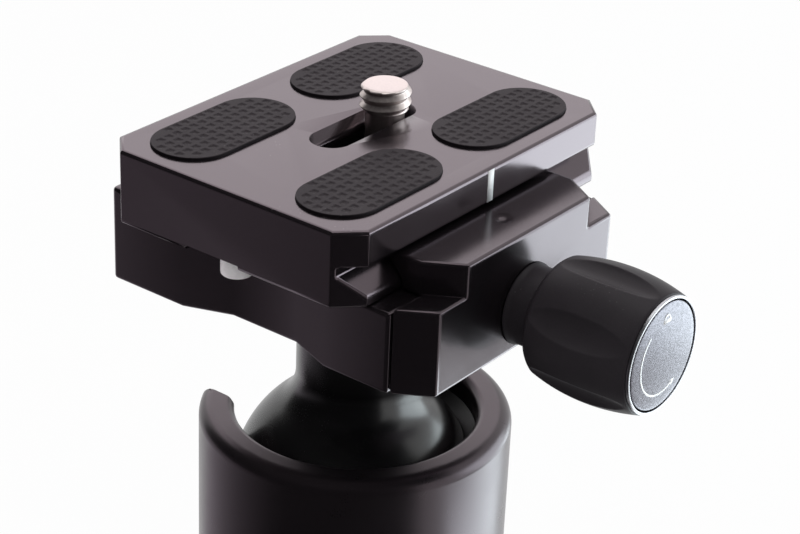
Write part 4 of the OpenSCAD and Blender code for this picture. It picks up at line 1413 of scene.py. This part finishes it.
class HEAD_OT_studio(bpy.types.Operator):
    """Pale floor, soft lights, a dark card that paints the front's reflections, and camera"""
    bl_idname = "ball_head.studio"
    bl_label = "Studio"

    def execute(self, context):
        studio = context.scene.head_studio
        self.floor()
        self.card()
        self.world(context, studio)
        for name, place, target, wide, tall, level, tint in SOFTBOXES:
            softbox(name, place, target, wide, tall, getattr(studio, level), tint)
        self.camera(context, studio)
        context.scene.view_settings.view_transform = "Standard"
        return {"FINISHED"}

    def camera(self, context, studio):
        """The camera, placed by its distance and angles from the point that it looks at."""
        camera = bpy.data.cameras.new("Camera")
        camera.sensor_width = SENSOR_W
        camera.lens = studio.lens
        camera.clip_start = NEAR_LIMIT
        holder = bpy.data.objects.new("Camera", camera)
        context.scene.collection.objects.link(holder)
        az, el, roll = studio.azimuth, studio.elevation, studio.roll
        back = Vector((math.sin(az) * math.cos(el), -math.cos(az) * math.cos(el), math.sin(el)))
        right = Vector((math.cos(az), math.sin(az), 0))
        up = back.cross(right)
        right, up = (math.cos(roll) * right + math.sin(roll) * up,
                     math.cos(roll) * up - math.sin(roll) * right)
        turn = Matrix((right, up, back)).transposed()
        target = Vector((*LOOK_AT, PLATE_HIGH.z)) * MM
        holder.matrix_world = Matrix.Translation(target + back * studio.distance) @ turn.to_4x4()
        context.scene.camera = holder

    def floor(self):
        """A wide pale floor that looks white and still takes the shadow."""
        outline = plan_box(-FLOOR_HALF, -FLOOR_HALF, FLOOR_HALF, FLOOR_HALF)
        floor = mesh_piece("floor", *prism(outline, -FLOOR_THICK, 0))
        material, tree, shader = new_material("Pale Floor", {"Roughness": 0.8})
        paper = add(tree, "ShaderNodeTexNoise", {"Scale": 400.0, "Detail": 3.0})
        tint = blend(tree, maths(tree, "MULTIPLY", paper.outputs["Fac"], PAPER_MIX),
                     PAPER_LIGHT, PAPER_DARK)
        tree.links.new(tint, shader.inputs["Base Color"])
        glow = add(tree, "ShaderNodeEmission", {"Color": (1, 1, 1, 1), "Strength": 1.0})
        mix = add(tree, "ShaderNodeMixShader", {1: shader.outputs[0], 2: glow.outputs[0]})
        tree.links.new(maths(tree, "MULTIPLY", seen(tree), FLOOR_GLOW), mix.inputs[0])
        tree.links.new(mix.outputs[0], tree.nodes["Material Output"].inputs["Surface"])
        floor.data.materials.append(material)

    def card(self):
        """Dark card round the front, which only shows as a reflection: a painted dark reflection,
        whose floor glows grey on the left as a painted reflection of light."""
        wall = sheet([(CARD_FAR, CARD_LOW), (CARD_FAR, CARD_MID)], CARD_FROM, CARD_TO)
        roof = sheet([(CARD_FAR, CARD_MID), (CARD_FAR, CARD_TALL), (CARD_ROOF, CARD_TOP)],
                     CARD_FROM, CARD_ABOVE_TO)
        canopy = mesh_piece("dark_card", *together(wall, roof))
        # Painted reflection: the walls glow faintly, so that mirrors show a dark front
        canopy.data.materials.append(new_material("Dark Card", {
            **CARD_PAINT, "Emission Color": CARD_GLOW_TINT, "Emission Strength": CARD_GLOW})[0])
        apron = mesh_piece("dark_apron", *sheet([(CARD_NEAR, CARD_LOW), (CARD_FAR, CARD_LOW)],
                                                CARD_FROM, CARD_TO))
        # Painted reflection: the floor glows grey on the left and dark towards the front and right,
        # seen only by mirrors
        material, tree, shader = new_material("Dark Apron", {
            **CARD_PAINT, "Emission Strength": 1.0})
        place = add(tree, "ShaderNodeSeparateXYZ", {
            "Vector": add(tree, "ShaderNodeTexCoord").outputs["Object"]}).outputs
        turn = maths(tree, "ARCTAN2", place["Y"], place["X"])
        share = maths(tree, "ADD", maths(tree, "DIVIDE", turn, math.pi), 1.0)
        ramp = add(tree, "ShaderNodeValToRGB", {"Fac": share})
        grey = ramp.color_ramp.elements
        grey[0].position, grey[0].color = 0.0, APRON_FIRST
        grey[1].position, grey[1].color = 1.0, APRON_LAST
        for at, level in APRON_LEVELS:
            grey.new(at).color = (level, APRON_GREEN * level, level, 1)
        tree.links.new(ramp.outputs["Color"], shader.inputs["Emission Color"])
        apron.data.materials.append(material)
        for card in (canopy, apron):
            card.visible_camera = False
            card.visible_diffuse = False
            card.visible_transmission = False
            card.visible_shadow = False

    def world(self, context, studio):
        """Soft light from all round, white where it is seen or mirrored."""
        world = bpy.data.worlds.new("Studio")
        context.scene.world = world
        world.use_nodes = True
        tree = world.node_tree
        sky = tree.nodes["Background"]
        sky.inputs["Color"].default_value = SKY_TINT
        sky.inputs["Strength"].default_value = studio.sky
        white = add(tree, "ShaderNodeBackground", {"Color": (1, 1, 1, 1), "Strength": 1.0})
        mix = add(tree, "ShaderNodeMixShader", {1: sky.outputs[0], 2: white.outputs[0]})
        tree.links.new(seen(tree), mix.inputs[0])
        tree.links.new(mix.outputs[0], tree.nodes["World Output"].inputs["Surface"])


def sheet(rows, start, end, steps=48):
    """A thin sheet round the upright axis through rows of (radius, height), between two angles."""
    points = []
    for k in range(steps + 1):
        a = math.radians(start + (end - start) * k / steps)
        points += [(r * math.cos(a), r * math.sin(a), z) for r, z in rows]
    n = len(rows)
    faces = [[n * k + j, n * k + j + n, n * k + j + n + 1, n * k + j + 1]
             for k in range(steps) for j in range(n - 1)]
    return points, faces


def seen(tree):
    """1 where the camera, a mirror or glass sees the surface, else 0."""
    path = add(tree, "ShaderNodeLightPath").outputs
    both = maths(tree, "MAXIMUM", path["Is Camera Ray"], path["Is Glossy Ray"])
    return maths(tree, "MAXIMUM", both, path["Is Transmission Ray"])


def softbox(name, place, target, wide, tall, radiance, tint):
    """A soft rectangular lamp at a place in metres, facing a target, unseen by the camera."""
    lamp = bpy.data.lights.new(name, "AREA")
    lamp.shape = "RECTANGLE"
    lamp.size = wide
    lamp.size_y = tall
    lamp.energy = radiance * math.pi * wide * tall
    lamp.color = tint
    holder = bpy.data.objects.new(name, lamp)
    bpy.context.scene.collection.objects.link(holder)
    turn = (Vector(place) - Vector(target)).to_track_quat("Z", "Y").to_matrix()
    holder.matrix_world = Matrix.Translation(place) @ turn.to_4x4()
    holder.visible_camera = False


class HEAD_PT_sidebar(bpy.types.Panel):
    """Lists the pieces and the sizes and colours that they are made with"""
    bl_idname = "HEAD_PT_sidebar"
    bl_label = "Ball Head"
    bl_space_type = "VIEW_3D"
    bl_region_type = "UI"
    bl_category = "Ball Head"

    def draw(self, context):
        layout = self.layout
        for operator in OPERATORS:
            layout.operator(operator.bl_idname)
        for group in (context.scene.head_sizes, context.scene.head_colours,
                      context.scene.head_studio):
            box = layout.box()
            for name in group.bl_rna.properties.keys():
                if name not in {"rna_type", "name"}:
                    box.prop(group, name)


OPERATORS = [HEAD_OT_base, HEAD_OT_body, HEAD_OT_inside, HEAD_OT_ball, HEAD_OT_clamp,
             HEAD_OT_knobs, HEAD_OT_plate, HEAD_OT_pads, HEAD_OT_screws, HEAD_OT_marks,
             HEAD_OT_studio]
CLASSES = [BallHeadSizes, BallHeadColours, BallHeadStudio] + OPERATORS + [HEAD_PT_sidebar]


def register():
    """Registers the classes and hangs the settings on the scene."""
    for cls in CLASSES:
        bpy.utils.register_class(cls)
    bpy.types.Scene.head_sizes = PointerProperty(type=BallHeadSizes)
    bpy.types.Scene.head_colours = PointerProperty(type=BallHeadColours)
    bpy.types.Scene.head_studio = PointerProperty(type=BallHeadStudio)


def unregister():
    """Takes the settings off the scene and removes the classes."""
    del bpy.types.Scene.head_studio
    del bpy.types.Scene.head_colours
    del bpy.types.Scene.head_sizes
    for cls in reversed(CLASSES):
        bpy.utils.unregister_class(cls)


def main():
    """Makes every piece in order."""
    register()
    for operator in OPERATORS:
        group, name = operator.bl_idname.split(".")
        getattr(getattr(bpy.ops, group), name)()


if __name__ == "__main__":
    main()
